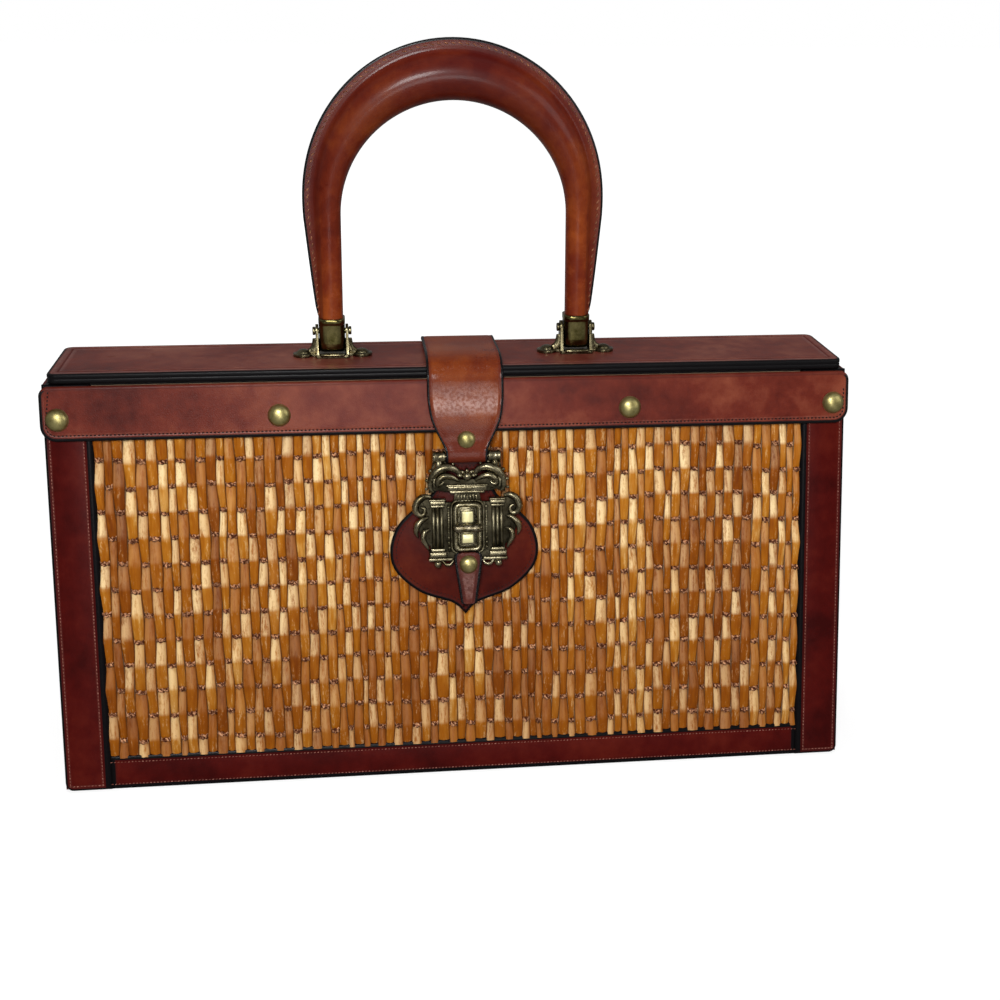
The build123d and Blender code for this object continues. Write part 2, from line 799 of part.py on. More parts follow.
def handle_seam():
    """The flat stitched edge that stands out all round the outside of the arch."""
    outer = []
    inner = []
    foot = ferrule_top + seam_start_gap
    for x, z, radius, heading in handle_stations():
        if z < foot:
            continue
        share = min(1.0, (z - foot) / (arch_centre_height - foot))
        height = seam_height_at_leg_end + (seam_height - seam_height_at_leg_end) * share
        turn = math.radians(heading + 90.0)
        out_x = math.cos(turn)
        out_z = math.sin(turn)
        outer.append((x + out_x * (radius + height), lid_top + z + out_z * (radius + height)))
        inner.append((x + out_x * radius * 0.5, lid_top + z + out_z * radius * 0.5))
    edges = [Spline(*outer), Spline(*inner)]
    edges.append(Line(outer[0], inner[0]))
    edges.append(Line(outer[-1], inner[-1]))
    face = make_face(Wire(edges))
    return extrude(Plane.XZ * face, amount=seam_thickness / 2, both=True)


def handle_leather():
    return handle_tube() + handle_seam() - handle_tube(handle_leather_thickness)


def handle_core():
    return handle_tube(handle_leather_thickness + core_clearance)


def at_leg(side, shape):
    return Pos(handle_offset + side * handle_spread, 0, lid_top) * shape


def cross_pin(radius, x_low, x_high):
    return along_x(radius, x_low, x_high, 0, pin_height)


def ferrule():
    block = extrude(
        RectangleRounded(2 * ferrule_half_width, 2 * ferrule_half_depth, ferrule_corner), amount=ferrule_top
    )
    nose = along_x(ferrule_nose_radius, -ferrule_half_width, ferrule_half_width, 0, pin_height)
    upper = Pos(0, 0, pin_height + ferrule_top / 2) * Box(
        2 * ferrule_half_width, 2 * ferrule_half_depth, ferrule_top
    )
    body = block & (nose + upper)
    depth = ferrule_top - ferrule_socket_bottom
    socket_radius = leg_end_tube_radius + ferrule_fit
    socket = Pos(0, 0, ferrule_socket_bottom + depth / 2 + 0.5) * Cylinder(socket_radius, depth + 1)
    reach = ferrule_half_width + 1
    return body - socket - cross_pin(pin_radius + hole_fit, -reach, reach)


def handle_pin():
    ear_outer = bracket_ear_outer + 0.1
    pin = cross_pin(pin_radius, -ear_outer - pin_head, ear_outer + pin_head)
    heads = cross_pin(pin_head_radius, -ear_outer - pin_head, -ear_outer)
    heads = heads + cross_pin(pin_head_radius, ear_outer, ear_outer + pin_head)
    return pin + heads


def handle_bracket():
    outline = RectangleRounded(2 * bracket_ear_outer + 0.6, 2 * bracket_base_half_depth, 1.0)
    outline = outline + Rectangle(2 * bracket_lug_spread, bracket_tongue_width)
    for side in (-1, 1):
        outline = outline + Pos(side * bracket_lug_spread, 0) * Circle(bracket_lug_radius)
    piece = extrude(outline, amount=bracket_base_thickness)
    for side in (-1, 1):
        lip_y = side * (bracket_base_half_depth - bracket_lip_depth / 2)
        piece = piece + Pos(0, lip_y, bracket_base_thickness + bracket_lip_height / 2) * Box(
            2 * ferrule_half_width - 1.2, bracket_lip_depth, bracket_lip_height
        )
        half_foot = bracket_base_half_depth - 1.2
        ear = make_face(
            Polyline(
                (-half_foot, 0),
                (half_foot, 0),
                (bracket_ear_top_radius, pin_height),
                (-bracket_ear_top_radius, pin_height),
                close=True,
            )
        )
        ear = ear + Pos(0, pin_height) * Circle(bracket_ear_top_radius)
        x = bracket_ear_inner if side > 0 else -bracket_ear_outer
        piece = piece + Pos(x, 0, 0) * extrude(Plane.YZ * ear, amount=bracket_ear_thickness)
    reach = bracket_ear_outer + 1
    piece = piece - cross_pin(pin_radius + pin_clearance, -reach, reach)
    for side in (-1, 1):
        piece = piece - Pos(side * bracket_lug_spread, 0, 1) * Cylinder(rivet_shank_radius + hole_fit, 6)
    return piece


def bracket_rivets(side):
    shank = lid_leather_thickness + lid_board_thickness + bracket_base_thickness
    rivets = []
    for lug in (-1, 1):
        head = Pos(0, 0, bracket_base_thickness) * dome(rivet_radius, rivet_dome, 0.4)
        pin = Pos(0, 0, bracket_base_thickness - shank / 2) * Cylinder(rivet_shank_radius, shank)
        rivets.append(at_leg(side, Pos(lug * bracket_lug_spread, 0, 0) * (head + pin)))
    return rivets


def rivet_holes():
    holes = []
    for side in (-1, 1):
        for lug in (-1, 1):
            hole = Pos(lug * bracket_lug_spread, 0, -5) * Cylinder(rivet_shank_radius + hole_fit, 12)
            holes.append(at_leg(side, hole))
    return holes


def build():
    holes = tack_holes() + clasp_holes()
    down_holes = [screw_down(x, hole_fit) for x in screw_xs()]
    up_holes = [screw_up(x, hole_fit) for x in screw_xs()]
    lid_holes = rivet_holes() + up_holes
    stud, stud_holes = strap_stud_pieces()
    parts = {
        "bottom_board": bottom_board(),
        "front_board": cut_for(wall_board(rim_height), holes),
        "back_board": cut_for(to_back(wall_board(back_rim_height)), down_holes),
        "left_end_board": end_board(-1),
        "right_end_board": end_board(1),
        "left_end_leather": end_leather(-1),
        "right_end_leather": end_leather(1),
        "bottom_leather": bottom_leather(),
        "lining": lining(),
        "front_reed_mat": cut_for(reed_mat(rim_height), holes),
        "back_reed_mat": to_back(reed_mat(back_rim_height)),
        "front_left_strip": cut_for(side_strip(-1, rim_height), tack_holes()),
        "front_right_strip": cut_for(side_strip(1, rim_height), tack_holes()),
        "back_left_strip": to_back(side_strip(-1, back_rim_height)),
        "back_right_strip": to_back(side_strip(1, back_rim_height)),
        "front_bottom_strip": bottom_strip(),
        "back_bottom_strip": to_back(bottom_strip()),
        "front_band": cut_for(top_band(), tack_holes()),
        "back_band": to_back(top_band(hinge_leaf_thickness)),
        "band_tacks": Compound(children=band_tacks()),
        "clasp_patch": clasp_patch(),
        "clasp_base_plate": clasp_base_plate(),
        "clasp_back_plate": clasp_back_plate(),
        "turn_knob": turn_knob(),
        "knob_retainer": knob_retainer(),
        "hinge_leaf_box": cut_for(hinge_leaf(0, rim_height - hinge_leaf_thickness), down_holes),
        "hinge_leaf_lid": cut_for(hinge_leaf(1, lid_bottom), up_holes),
        "hinge_pin": hinge_pin(),
        "hinge_screws_box": Compound(children=[screw_down(x) for x in screw_xs()]),
        "hinge_screws_lid": Compound(children=[screw_up(x) for x in screw_xs()]),
        "lid_lining": lid_layer(
            lid_bottom, lid_lining_thickness, hinge_axis_y - hinge_barrel_radius - hinge_leaf_width
        ),
        "lid_board": cut_for(lid_layer(lid_board_bottom, lid_board_thickness), lid_holes),
        "lid_leather": cut_for(lid_leather(), rivet_holes()),
        "strap": cut_for(strap(), stud_holes),
        "strap_stud": stud,
        "hasp": hasp(),
        "hasp_bar": hasp_bar_shape(),
        "pull_tab": pull_tab(),
        "pull_tab_stud": pull_tab_stud(),
        "handle_leather": handle_leather(),
        "handle_core": handle_core(),
        "left_ferrule": at_leg(-1, ferrule()),
        "right_ferrule": at_leg(1, ferrule()),
        "left_handle_pin": at_leg(-1, handle_pin()),
        "right_handle_pin": at_leg(1, handle_pin()),
        "left_handle_bracket": at_leg(-1, handle_bracket()),
        "right_handle_bracket": at_leg(1, handle_bracket()),
        "bracket_rivets": Compound(children=bracket_rivets(-1) + bracket_rivets(1)),
    }
    return parts


os.makedirs("parts", exist_ok=True)
for name, shape in build().items():
    export_step(shape, f"parts/{name}.step")
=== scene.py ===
import json
import math

import bmesh
import bpy
from mathutils import Matrix, Vector


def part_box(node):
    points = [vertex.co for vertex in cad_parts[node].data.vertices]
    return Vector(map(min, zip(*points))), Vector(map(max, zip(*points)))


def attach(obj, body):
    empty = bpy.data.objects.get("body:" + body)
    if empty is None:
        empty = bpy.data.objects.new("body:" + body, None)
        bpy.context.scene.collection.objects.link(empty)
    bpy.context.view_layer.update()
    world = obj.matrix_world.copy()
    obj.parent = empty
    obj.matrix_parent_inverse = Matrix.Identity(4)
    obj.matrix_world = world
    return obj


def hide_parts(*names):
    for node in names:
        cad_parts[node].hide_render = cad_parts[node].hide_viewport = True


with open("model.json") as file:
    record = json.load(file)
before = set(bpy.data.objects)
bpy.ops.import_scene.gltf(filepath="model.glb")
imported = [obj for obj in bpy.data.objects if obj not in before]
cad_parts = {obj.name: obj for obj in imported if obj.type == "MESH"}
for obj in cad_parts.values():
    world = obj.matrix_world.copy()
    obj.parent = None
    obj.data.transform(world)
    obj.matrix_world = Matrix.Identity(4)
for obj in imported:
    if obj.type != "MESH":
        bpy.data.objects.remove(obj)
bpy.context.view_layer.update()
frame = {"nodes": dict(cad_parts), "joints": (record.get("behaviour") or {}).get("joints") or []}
nodes = frame["nodes"]
mm = 0.001


# node trees

# a socket that can be used in sums
class Wire:
    def __init__(self, tree, socket):
        self.tree = tree
        self.socket = socket

    def sum(self, operation, *values):
        return self.tree.node("ShaderNodeMath", {"operation": operation}, dict(enumerate(values)))[0]

    def __add__(self, other):
        return self.sum("ADD", self, other)

    def __radd__(self, other):
        return self.sum("ADD", other, self)

    def __sub__(self, other):
        return self.sum("SUBTRACT", self, other)

    def __rsub__(self, other):
        return self.sum("SUBTRACT", other, self)

    def __mul__(self, other):
        return self.sum("MULTIPLY", self, other)

    def __rmul__(self, other):
        return self.sum("MULTIPLY", other, self)

    def __truediv__(self, other):
        return self.sum("DIVIDE", self, other)

    def __pow__(self, other):
        return self.sum("POWER", self, other)

    def __mod__(self, other):
        return self.sum("FLOORED_MODULO", self, other)

    def __gt__(self, other):
        return self.sum("GREATER_THAN", self, other)

    def __lt__(self, other):
        return self.sum("LESS_THAN", self, other)

    def sin(self):
        return self.sum("SINE", self)

    def cos(self):
        return self.sum("COSINE", self)

    def abs(self):
        return self.sum("ABSOLUTE", self)

    def floor(self):
        return self.sum("FLOOR", self)

    def clamp(self):
        return self.tree.node("ShaderNodeClamp", {}, {"Value": self})["Result"]


# the outputs of one node, by name or by number
class Outputs:
    def __init__(self, tree, node):
        self.tree = tree
        self.node = node

    def __getitem__(self, key):
        return Wire(self.tree, self.node.outputs[key])


# a node tree that is filled one node at a time
class Tree:
    def __init__(self, tree):
        self.tree = tree

    def node(self, kind, settings=None, values=None):
        made = self.tree.nodes.new(kind)
        for key, value in (settings or {}).items():
            if key == "stops":
                self.setStops(made.color_ramp, value)
            else:
                setattr(made, key, value)
        for key, value in (values or {}).items():
            self.feed(made.inputs[key], value)
        return Outputs(self, made)

    def feed(self, socket, value):
        if isinstance(value, Wire):
            self.tree.links.new(value.socket, socket)
        elif isinstance(value, (tuple, list)) and len(value) == 3 and socket.type == "RGBA":
            socket.default_value = (*value, 1.0)
        else:
            socket.default_value = value

    def setStops(self, ramp, stops):
        while len(ramp.elements) < len(stops):
            ramp.elements.new(0.5)
        for element, (place, colour) in zip(ramp.elements, stops):
            element.position = place
            element.color = (*colour, 1.0)

    def mix(self, share, low, high):
        made = self.tree.nodes.new("ShaderNodeMix")
        made.data_type = "RGBA"
        self.feed(made.inputs[0], share)
        self.feed(made.inputs[6], low)
        self.feed(made.inputs[7], high)
        return Wire(self, made.outputs[2])

    def noise(self, where, scale, detail=3.0, rough=0.55, stretch=None):
        if stretch:
            where = self.node("ShaderNodeMapping", {}, {"Vector": where, "Scale": stretch})["Vector"]
        return self.node("ShaderNodeTexNoise", {}, {
            "Vector": where, "Scale": scale, "Detail": detail, "Roughness": rough})["Fac"]

    def range(self, value, fromLow, fromHigh, toLow=0.0, toHigh=1.0, smooth=False):
        kind = "SMOOTHSTEP" if smooth else "LINEAR"
        return self.node("ShaderNodeMapRange", {"interpolation_type": kind}, {
            "Value": value, "From Min": fromLow, "From Max": fromHigh, "To Min": toLow,
            "To Max": toHigh})["Result"]

    def attribute(self, name):
        return self.node("ShaderNodeAttribute", {"attribute_name": name})["Fac"]

    def place(self):
        return self.node("ShaderNodeTexCoord")["Object"]

    def parts(self, vector):
        return self.node("ShaderNodeSeparateXYZ", {}, {"Vector": vector})

    def vector(self, x, y, z):
        return self.node("ShaderNodeCombineXYZ", {}, {"X": x, "Y": y, "Z": z})["Vector"]

    def bump(self, shader, height, strength, distance):
        made = self.node("ShaderNodeBump", {}, {"Height": height, "Strength": strength, "Distance": distance})
        self.feed(shader.inputs["Normal"], made["Normal"])


def newMaterial(name):
    material = bpy.data.materials.new(name)
    material.use_nodes = True
    material.node_tree.nodes.clear()
    tree = Tree(material.node_tree)
    shader = material.node_tree.nodes.new("ShaderNodeBsdfPrincipled")
    out = material.node_tree.nodes.new("ShaderNodeOutputMaterial")
    material.node_tree.links.new(shader.outputs[0], out.inputs[0])
    return material, tree, shader


# finishes

mahogany = {
    "name": "mahoganyLeather", "dark": (0.058, 0.006, 0.0035), "mid": (0.125, 0.0165, 0.008),
    "light": (0.21, 0.046, 0.022), "rub": (0.26, 0.09, 0.065), "roughness": 0.36, "coat": 0.08,
    "specular": 0.12,
    "grain": 0.16, "spots": 0.5,
}
oxblood = {
    "name": "oxbloodLeather", "dark": (0.034, 0.0022, 0.002), "mid": (0.062, 0.0036, 0.0027),
    "light": (0.095, 0.0085, 0.0045), "rub": (0.16, 0.05, 0.04), "roughness": 0.34, "coat": 0.03,
    "specular": 0.05,
    "grain": 0.08, "spots": 0.35,
}
lidTone = {
    "name": "lidLeather", "dark": (0.056, 0.009, 0.007), "mid": (0.108, 0.021, 0.014),
    "light": (0.17, 0.052, 0.033), "rub": (0.34, 0.18, 0.15), "roughness": 0.4, "coat": 0.04, "specular": 0.1,
    "grain": 0.12, "spots": 0.6,
}
cognac = {
    "name": "cognacLeather", "dark": (0.062, 0.0045, 0.003), "mid": (0.15, 0.019, 0.005),
    "light": (0.28, 0.055, 0.009), "rub": (0.4, 0.2, 0.14), "roughness": 0.26, "coat": 0.3, "specular": 0.12,
    "grain": 0.1, "spots": 0.45,
}
# The strap's pale, nearly white rub colour is a painted highlight, laid just below the rim
strapTone = {
    "name": "strapLeather", "dark": (0.09, 0.011, 0.006), "mid": (0.165, 0.028, 0.006),
    "light": (0.25, 0.055, 0.009), "rub": (0.8, 0.58, 0.52), "roughness": 0.3, "coat": 0.2, "specular": 0.09,
    "grain": 1.2, "spots": 0.4,
}
patchTone = {
    "name": "patchLeather", "dark": (0.038, 0.004, 0.003), "mid": (0.072, 0.0075, 0.004),
    "light": (0.115, 0.017, 0.006), "rub": (0.16, 0.05, 0.04), "roughness": 0.34, "coat": 0.02,
    "specular": 0.05,
    "grain": 0.08, "spots": 0.4,
}
tabTone = {
    "name": "tabLeather", "dark": (0.045, 0.007, 0.005), "mid": (0.1, 0.02, 0.013),
    "light": (0.2, 0.065, 0.045), "rub": (0.34, 0.18, 0.15), "roughness": 0.32, "coat": 0.08,
    "specular": 0.12,
    "grain": 0.9, "spots": 0.6,
}
blackPaint = (0.004, 0.0035, 0.004)


# polished leather: cloudy dye, dark scuffs, fine grain, painted black edges, burnished darker lines and pale
# rubbed marks where the mesh says so; the pale marks are rubbed wear on the box, a painted highlight on the
# strap and the pull tab, and partly a painted highlight beside the lid's edge and crease
def leatherMaterial(settings):
    material, tree, shader = newMaterial(settings["name"])
    place = tree.place()
    cloud = tree.noise(place, 22.0, 4.0, 0.55)
    fine = tree.noise(place, 160.0, 5.0, 0.6)
    blend = tree.range(cloud * 0.7 + fine * 0.3, 0.36, 0.64)
    colour = tree.node("ShaderNodeValToRGB", {"stops": [
        (0.0, settings["dark"]), (0.5, settings["mid"]), (1.0, settings["light"])]}, {"Fac": blend})["Color"]
    scuff = tree.range(tree.noise(place, 75.0, 6.0, 0.7), 0.62, 0.74)
    colour = tree.mix(scuff * settings["spots"], colour, settings["dark"])
    wornAndSheen = tree.attribute("burnish")
    colour = tree.mix(tree.range(wornAndSheen, 0.0, 1.0), colour, settings["dark"])
    # below zero the leather is painted pale in the rub colour with a sparkle: rubbed wear on the box, a
    # painted highlight on the strap and the pull tab
    sparkle = tree.noise(place, 800.0, 3.0, 0.6)
    rubbed = tree.range(wornAndSheen, 0.0, -1.0) * tree.range(sparkle, 0.4, 0.58, 0.35, 1.0)
    colour = tree.mix(rubbed, colour, settings["rub"])
    paint = tree.range(tree.attribute("paint") + (fine - 0.5) * 0.35, 0.42, 0.58)
    colour = tree.mix(paint, colour, blackPaint)
    tree.feed(shader.inputs["Base Color"], colour)
    rough = settings["roughness"] + (fine - 0.5) * 0.2 + scuff * 0.12 + tree.range(wornAndSheen, 0.1, 0.9) * 0.25
    tree.feed(shader.inputs["Roughness"], rough + paint * -0.04)
    shader.inputs["Specular IOR Level"].default_value = settings["specular"]
    shader.inputs["Coat Weight"].default_value = settings["coat"] * 0.6
    shader.inputs["Coat Roughness"].default_value = 0.18
    pores = tree.node("ShaderNodeTexVoronoi", {"feature": "DISTANCE_TO_EDGE"}, {
        "Vector": place, "Scale": 1300.0, "Randomness": 1.0})["Distance"]
    height = tree.range(pores, 0.0, 0.25) * settings["grain"] + fine * 0.35 + cloud * 0.6
    tree.bump(shader, height, 0.35, 0.4 * mm)
    return material


# Reed colours: the pale cream one is a painted highlight, low is painted shade towards the bottom, and grime
# is painted shade between and beside the reeds, also used where a reed dips under the cord
reedFinish = {
    "shade": [(0.0, (0.17, 0.036, 0.002)), (0.3, (0.29, 0.075, 0.003)), (0.6, (0.4, 0.125, 0.006)),
              (0.85, (0.52, 0.2, 0.018)), (1.0, (0.66, 0.33, 0.07))],
    "bleached": (0.95, 0.72, 0.38), "blush": (0.45, 0.17, 0.045), "spot": (0.09, 0.025, 0.006),
    "low": (0.17, 0.042, 0.002), "grime": (0.12, 0.029, 0.003), "roughness": 0.38, "specular": 0.1,
}


# varnished split reed: a tone for each reed and each length between two bindings, streaks along it, a painted
# highlight on the lengths that tilt up (stronger towards the top of the mat), painted glints on the others,
# dark spots, painted shade at the reed sides and on one side of each reed, and darker where a reed dips under
# the cord and towards the bottom of the mat
def reedMaterial():
    material, tree, shader = newMaterial("splitReed")
    tone = tree.attribute("reedTone")
    part = tree.attribute("reedPart")
    along = tree.attribute("along")
    across = tree.attribute("across")
    lift = tree.attribute("lift")
    upper = tree.attribute("upper")

    def onReed(acrossScale, alongScale, shift):
        return tree.vector(across * acrossScale + tone * 97.0, along * alongScale, tone * 31.0 + shift)

    streak = tree.noise(onReed(3.2, 13.0, 0.0), 1.0, 5.0, 0.6)
    fleck = tree.noise(onReed(7.0, 75.0, 4.0), 1.0, 4.0, 0.7)
    stain = tree.noise(onReed(1.0, 14.0, 9.0), 1.0, 2.0, 0.5)
    shade = tree.range(tone * 0.3 + part * 0.32 + streak * 0.6 + stain * 0.35, 0.47, 1.1)
    colour = tree.node("ShaderNodeValToRGB", {"stops": reedFinish["shade"]}, {"Fac": shade})["Color"]
    blush = tree.range(part * 7.0 % 1.0, 0.6, 0.95) * tree.range(stain, 0.4, 0.6)
    colour = tree.mix(blush * 0.25, colour, reedFinish["blush"])
    # painted shade: the matting is darker towards the bottom, where less light reaches it
    colour = tree.mix(tree.range(along, 0.85, 0.1, 0.0, 0.4), colour, reedFinish["low"])
    # painted highlight: the lengths that tilt up are lightened towards the pale cream colour, more towards
    # the top of the mat and on one side of the reed
    strength = tree.range(part, 0.25, 0.85, 0.12, 1.0) * tree.range(along, 0.0, 0.75, 0.45, 1.0)
    highlightRidge = tree.range(across, 0.42, -0.1, 0.45, 1.0)
    paintedHighlight = upper * strength * highlightRidge * tree.range(streak * 0.6 + fleck * 0.4, 0.38, 0.52, 0.1, 1.0)
    colour = tree.mix(paintedHighlight * 0.92, colour, reedFinish["bleached"])
    # painted glints: pale flecks of the same cream on the lengths that tilt down
    glint = tree.range(streak * 0.5 + fleck * 0.5, 0.55, 0.65) * (1.0 - upper) * 0.35
    colour = tree.mix(glint, colour, reedFinish["bleached"])
    spots = tree.range(fleck, 0.63, 0.74)
    colour = tree.mix(spots * 0.6, colour, reedFinish["spot"])
    # painted shade: the sides of each reed are darkened as the shade between neighbours and one side as its
    # shaded side; the reed is also darker where it dips under the cord
    shaded = tree.range(across, 0.05, 0.5, 0.0, 0.35)
    side = tree.range(across.abs(), 0.4, 0.49)
    grime = (side * 0.85 + shaded + tree.range(lift, 0.13, 0.0) * 0.5).clamp()
    colour = tree.mix(grime, colour, reedFinish["grime"])
    tree.feed(shader.inputs["Base Color"], colour)
    tree.feed(shader.inputs["Roughness"], reedFinish["roughness"] + (streak - 0.5) * 0.3)
    shader.inputs["Specular IOR Level"].default_value = reedFinish["specular"]
    tree.bump(shader, streak, 0.45, 0.4 * mm)
    return material


# twisted cord or thread, with pale fibres in it
def cordMaterial(name, dark, light, scale):
    material, tree, shader = newMaterial(name)
    place = tree.place()
    fibre = tree.noise(place, scale, 3.0, 0.6)
    colour = tree.mix(tree.range(fibre, 0.46, 0.62), dark, light)
    tree.feed(shader.inputs["Base Color"], colour)
    shader.inputs["Roughness"].default_value = 0.55
    shader.inputs["Specular IOR Level"].default_value = 0.15
    return material


domeBrass = {
    "name": "domeBrass", "low": (0.2, 0.165, 0.055), "high": (0.42, 0.36, 0.15), "grime": (0.09, 0.07, 0.025),
    "metal": 0.9, "roughness": 0.36, "speck": 0.05, "bump": 0.04,
}
agedBrass = {
    "name": "agedBrass", "low": (0.07, 0.056, 0.028), "high": (0.34, 0.3, 0.19),
    "grime": (0.012, 0.01, 0.006),
    "metal": 1.0, "roughness": 0.28, "speck": 0.2, "bump": 0.2,
}
sleeveBrass = {
    "name": "sleeveBrass", "low": (0.08, 0.066, 0.018), "high": (0.24, 0.2, 0.08),
    "grime": (0.016, 0.013, 0.006),
    "metal": 1.0, "roughness": 0.15, "speck": 0.1, "bump": 0.08,
}
# Brass for the clasp's boss: its base colour is pale and it is only partly metal, a painted reflection
# standing in for the lamp's reflection on the polished squares
paintedReflectionBrass = {
    "name": "paintedReflectionBrass", "low": (0.78, 0.7, 0.34), "high": (0.86, 0.8, 0.44), "grime": (0.5, 0.42, 0.2),
    "metal": 0.35, "roughness": 0.34, "speck": 0.1, "bump": 0.05,
}


# brass with tarnish in clouds, and grime in the hollows where depth gives how high the surface stands
def brassMaterial(settings, depth=None):
    material, tree, shader = newMaterial(settings["name"])
    place = tree.place()
    cloud = tree.noise(place, 200.0, 4.0, 0.6)
    speck = tree.noise(place, 1100.0, 3.0, 0.6)
    shine = tree.range(cloud * 0.7 + speck * 0.3, 0.38, 0.62)
    colour = tree.mix(shine, settings["low"], settings["high"])
    grime = tree.range(speck, 0.56, 0.7) * 0.5 * tree.range(cloud, 0.7, 0.4)
    if depth:
        grime = (grime + tree.range(tree.attribute("relief"), depth[1], depth[0], 0.0, 0.9)).clamp()
    colour = tree.mix(grime, colour, settings["grime"])
    tree.feed(shader.inputs["Base Color"], colour)
    shader.inputs["Metallic"].default_value = settings["metal"]
    tree.feed(shader.inputs["Roughness"],
              settings["roughness"] + grime * 0.3 + (speck - 0.5) * settings["speck"])
    tree.bump(shader, speck, settings["bump"], 0.2 * mm)
    return material


rim = {"low": 0.1702, "high": 0.17145}  # the box's own rim is painted black where its layers end


def rimPaint(tree, place):
    height = tree.parts(place)["Z"]
    return (height > rim["low"]) * (height < rim["high"])


cotton = {
    "dark": (0.33, 0.235, 0.14), "light": (0.42, 0.31, 0.19), "between": (0.12, 0.08, 0.045), "thread": 0.55,
    "roughness": 0.9,
}


# the lining: a plain cotton weave
def clothMaterial():
    material, tree, shader = newMaterial("liningCloth")
    place = tree.place()
    parts = tree.parts(place)
    threads = 2 * math.pi / (cotton["thread"] * mm)
    weave = (parts["X"] * threads).sin() * ((parts["Y"] + parts["Z"]) * threads).sin()
    cloud = tree.noise(place, 40.0, 3.0)
    colour = tree.mix(tree.range(cloud, 0.3, 0.7), cotton["dark"], cotton["light"])
    colour = tree.mix(tree.range(weave, -1.0, 0.2, 0.35, 0.0), colour, cotton["between"])
    colour = tree.mix(rimPaint(tree, place), colour, blackPaint)
    tree.feed(shader.inputs["Base Color"], colour)
    shader.inputs["Roughness"].default_value = cotton["roughness"]
    tree.bump(shader, weave, 0.3, 0.2 * mm)
    return material


card = {"dark": (0.16, 0.09, 0.045), "light": (0.34, 0.22, 0.12), "roughness": 0.75}


# thin board, hidden under leather and lining
def boardMaterial():
    material, tree, shader = newMaterial("thinBoard")
    place = tree.place()
    grain = tree.noise(place, 60.0, 4.0, 0.6, (0.2, 1.0, 1.0))
    colour = tree.mix(grain, card["dark"], card["light"])
    tree.feed(shader.inputs["Base Color"], tree.mix(rimPaint(tree, place), colour, blackPaint))
    shader.inputs["Roughness"].default_value = card["roughness"]
    return material


# the handle's padding, which never shows
def paddingMaterial():
    material, tree, shader = newMaterial("handlePadding")
    place = tree.place()
    colour = tree.mix(tree.noise(place, 90.0), (0.03, 0.025, 0.02), (0.08, 0.07, 0.06))
    tree.feed(shader.inputs["Base Color"], colour)
    shader.inputs["Roughness"].default_value = 0.8
    return material


leather = {key: leatherMaterial(tone) for key, tone in (
    ("mahogany", mahogany), ("oxblood", oxblood), ("lid", lidTone), ("cognac", cognac), ("strap", strapTone),
    ("patch", patchTone), ("tab", tabTone))}
reed = reedMaterial()
binding = cordMaterial("bindingCord", (0.085, 0.022, 0.008), (0.66, 0.33, 0.17), 900.0)
darkThread = cordMaterial("darkThread", (0.006, 0.003, 0.003), (0.03, 0.008, 0.006), 900.0)
paleThread = cordMaterial("paleThread", (0.16, 0.045, 0.03), (0.36, 0.15, 0.11), 900.0)
tanThread = cordMaterial("tanThread", (0.13, 0.04, 0.018), (0.32, 0.13, 0.065), 900.0)
tackBrass = brassMaterial(domeBrass)
oldBrass = brassMaterial(agedBrass)
castBrass = brassMaterial(dict(agedBrass, name="castBrass"), (4.2, 5.6))
ferruleBrass = brassMaterial(sleeveBrass)
fittingBrass = brassMaterial(dict(agedBrass, name="fittingBrass", high=(0.2, 0.175, 0.1)))
knobBrass = brassMaterial(dict(agedBrass, name="knobBrass", high=(0.5, 0.43, 0.3), roughness=0.24))
bossBrass = brassMaterial(paintedReflectionBrass)
cloth = clothMaterial()
board = boardMaterial()
padding = paddingMaterial()
print("finishes made")


# places on the leaning faces, in millimetres until they are put in place

knobAxis = next(joint for joint in frame["joints"] if joint["name"] == "knob_turn")["axis"]
lean = math.atan2(knobAxis[2], -knobAxis[1])
leanSin, leanCos = math.sin(lean), math.cos(lean)
baseHalfDepth = -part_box("front_left_strip")[0].y / mm
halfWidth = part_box("right_end_leather")[1].x / mm
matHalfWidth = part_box("front_reed_mat")[1].x / mm
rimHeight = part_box("front_left_strip")[1].z / mm
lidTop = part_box("lid_leather")[1].z / mm
claspMiddle = (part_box("turn_knob")[0].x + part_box("turn_knob")[1].x) / 2 / mm
frontWay = Vector((0, -leanCos, leanSin))


def onFront(u, v, d):
    return Vector((u, -baseHalfDepth + v * leanSin - d * leanCos, v * leanCos + d * leanSin)) * mm


def onBack(u, v, d):
    point = onFront(u, v, d)
    point.y = -point.y
    return point


def linked(name, data):
    made = bpy.data.objects.new(name, data)
    bpy.context.scene.collection.objects.link(made)
    return made


# a mesh object from points in metres, with float attributes for the materials
def makeMesh(name, points, faces, values=None, smooth=True):
    mesh = bpy.data.meshes.new(name)
    mesh.from_pydata([tuple(point) for point in points], [], faces)
    for key, numbers in (values or {}).items():
        mesh.attributes.new(key, "FLOAT", "POINT").data.foreach_set("value", numbers)
    mesh.update()
    made = linked(name, mesh)
    work = bmesh.new()
    work.from_mesh(mesh)
    bmesh.ops.recalc_face_normals(work, faces=work.faces)
    work.to_mesh(mesh)
    work.free()
    mesh.polygons.foreach_set("use_smooth", [smooth] * len(mesh.polygons))
    return made


def finish(piece, body, finishSlot, material, *replaced):
    if material:
        piece.data.materials.clear()
        piece.data.materials.append(material)
    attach(piece, body)
    if replaced:
        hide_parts(*replaced)
    return piece


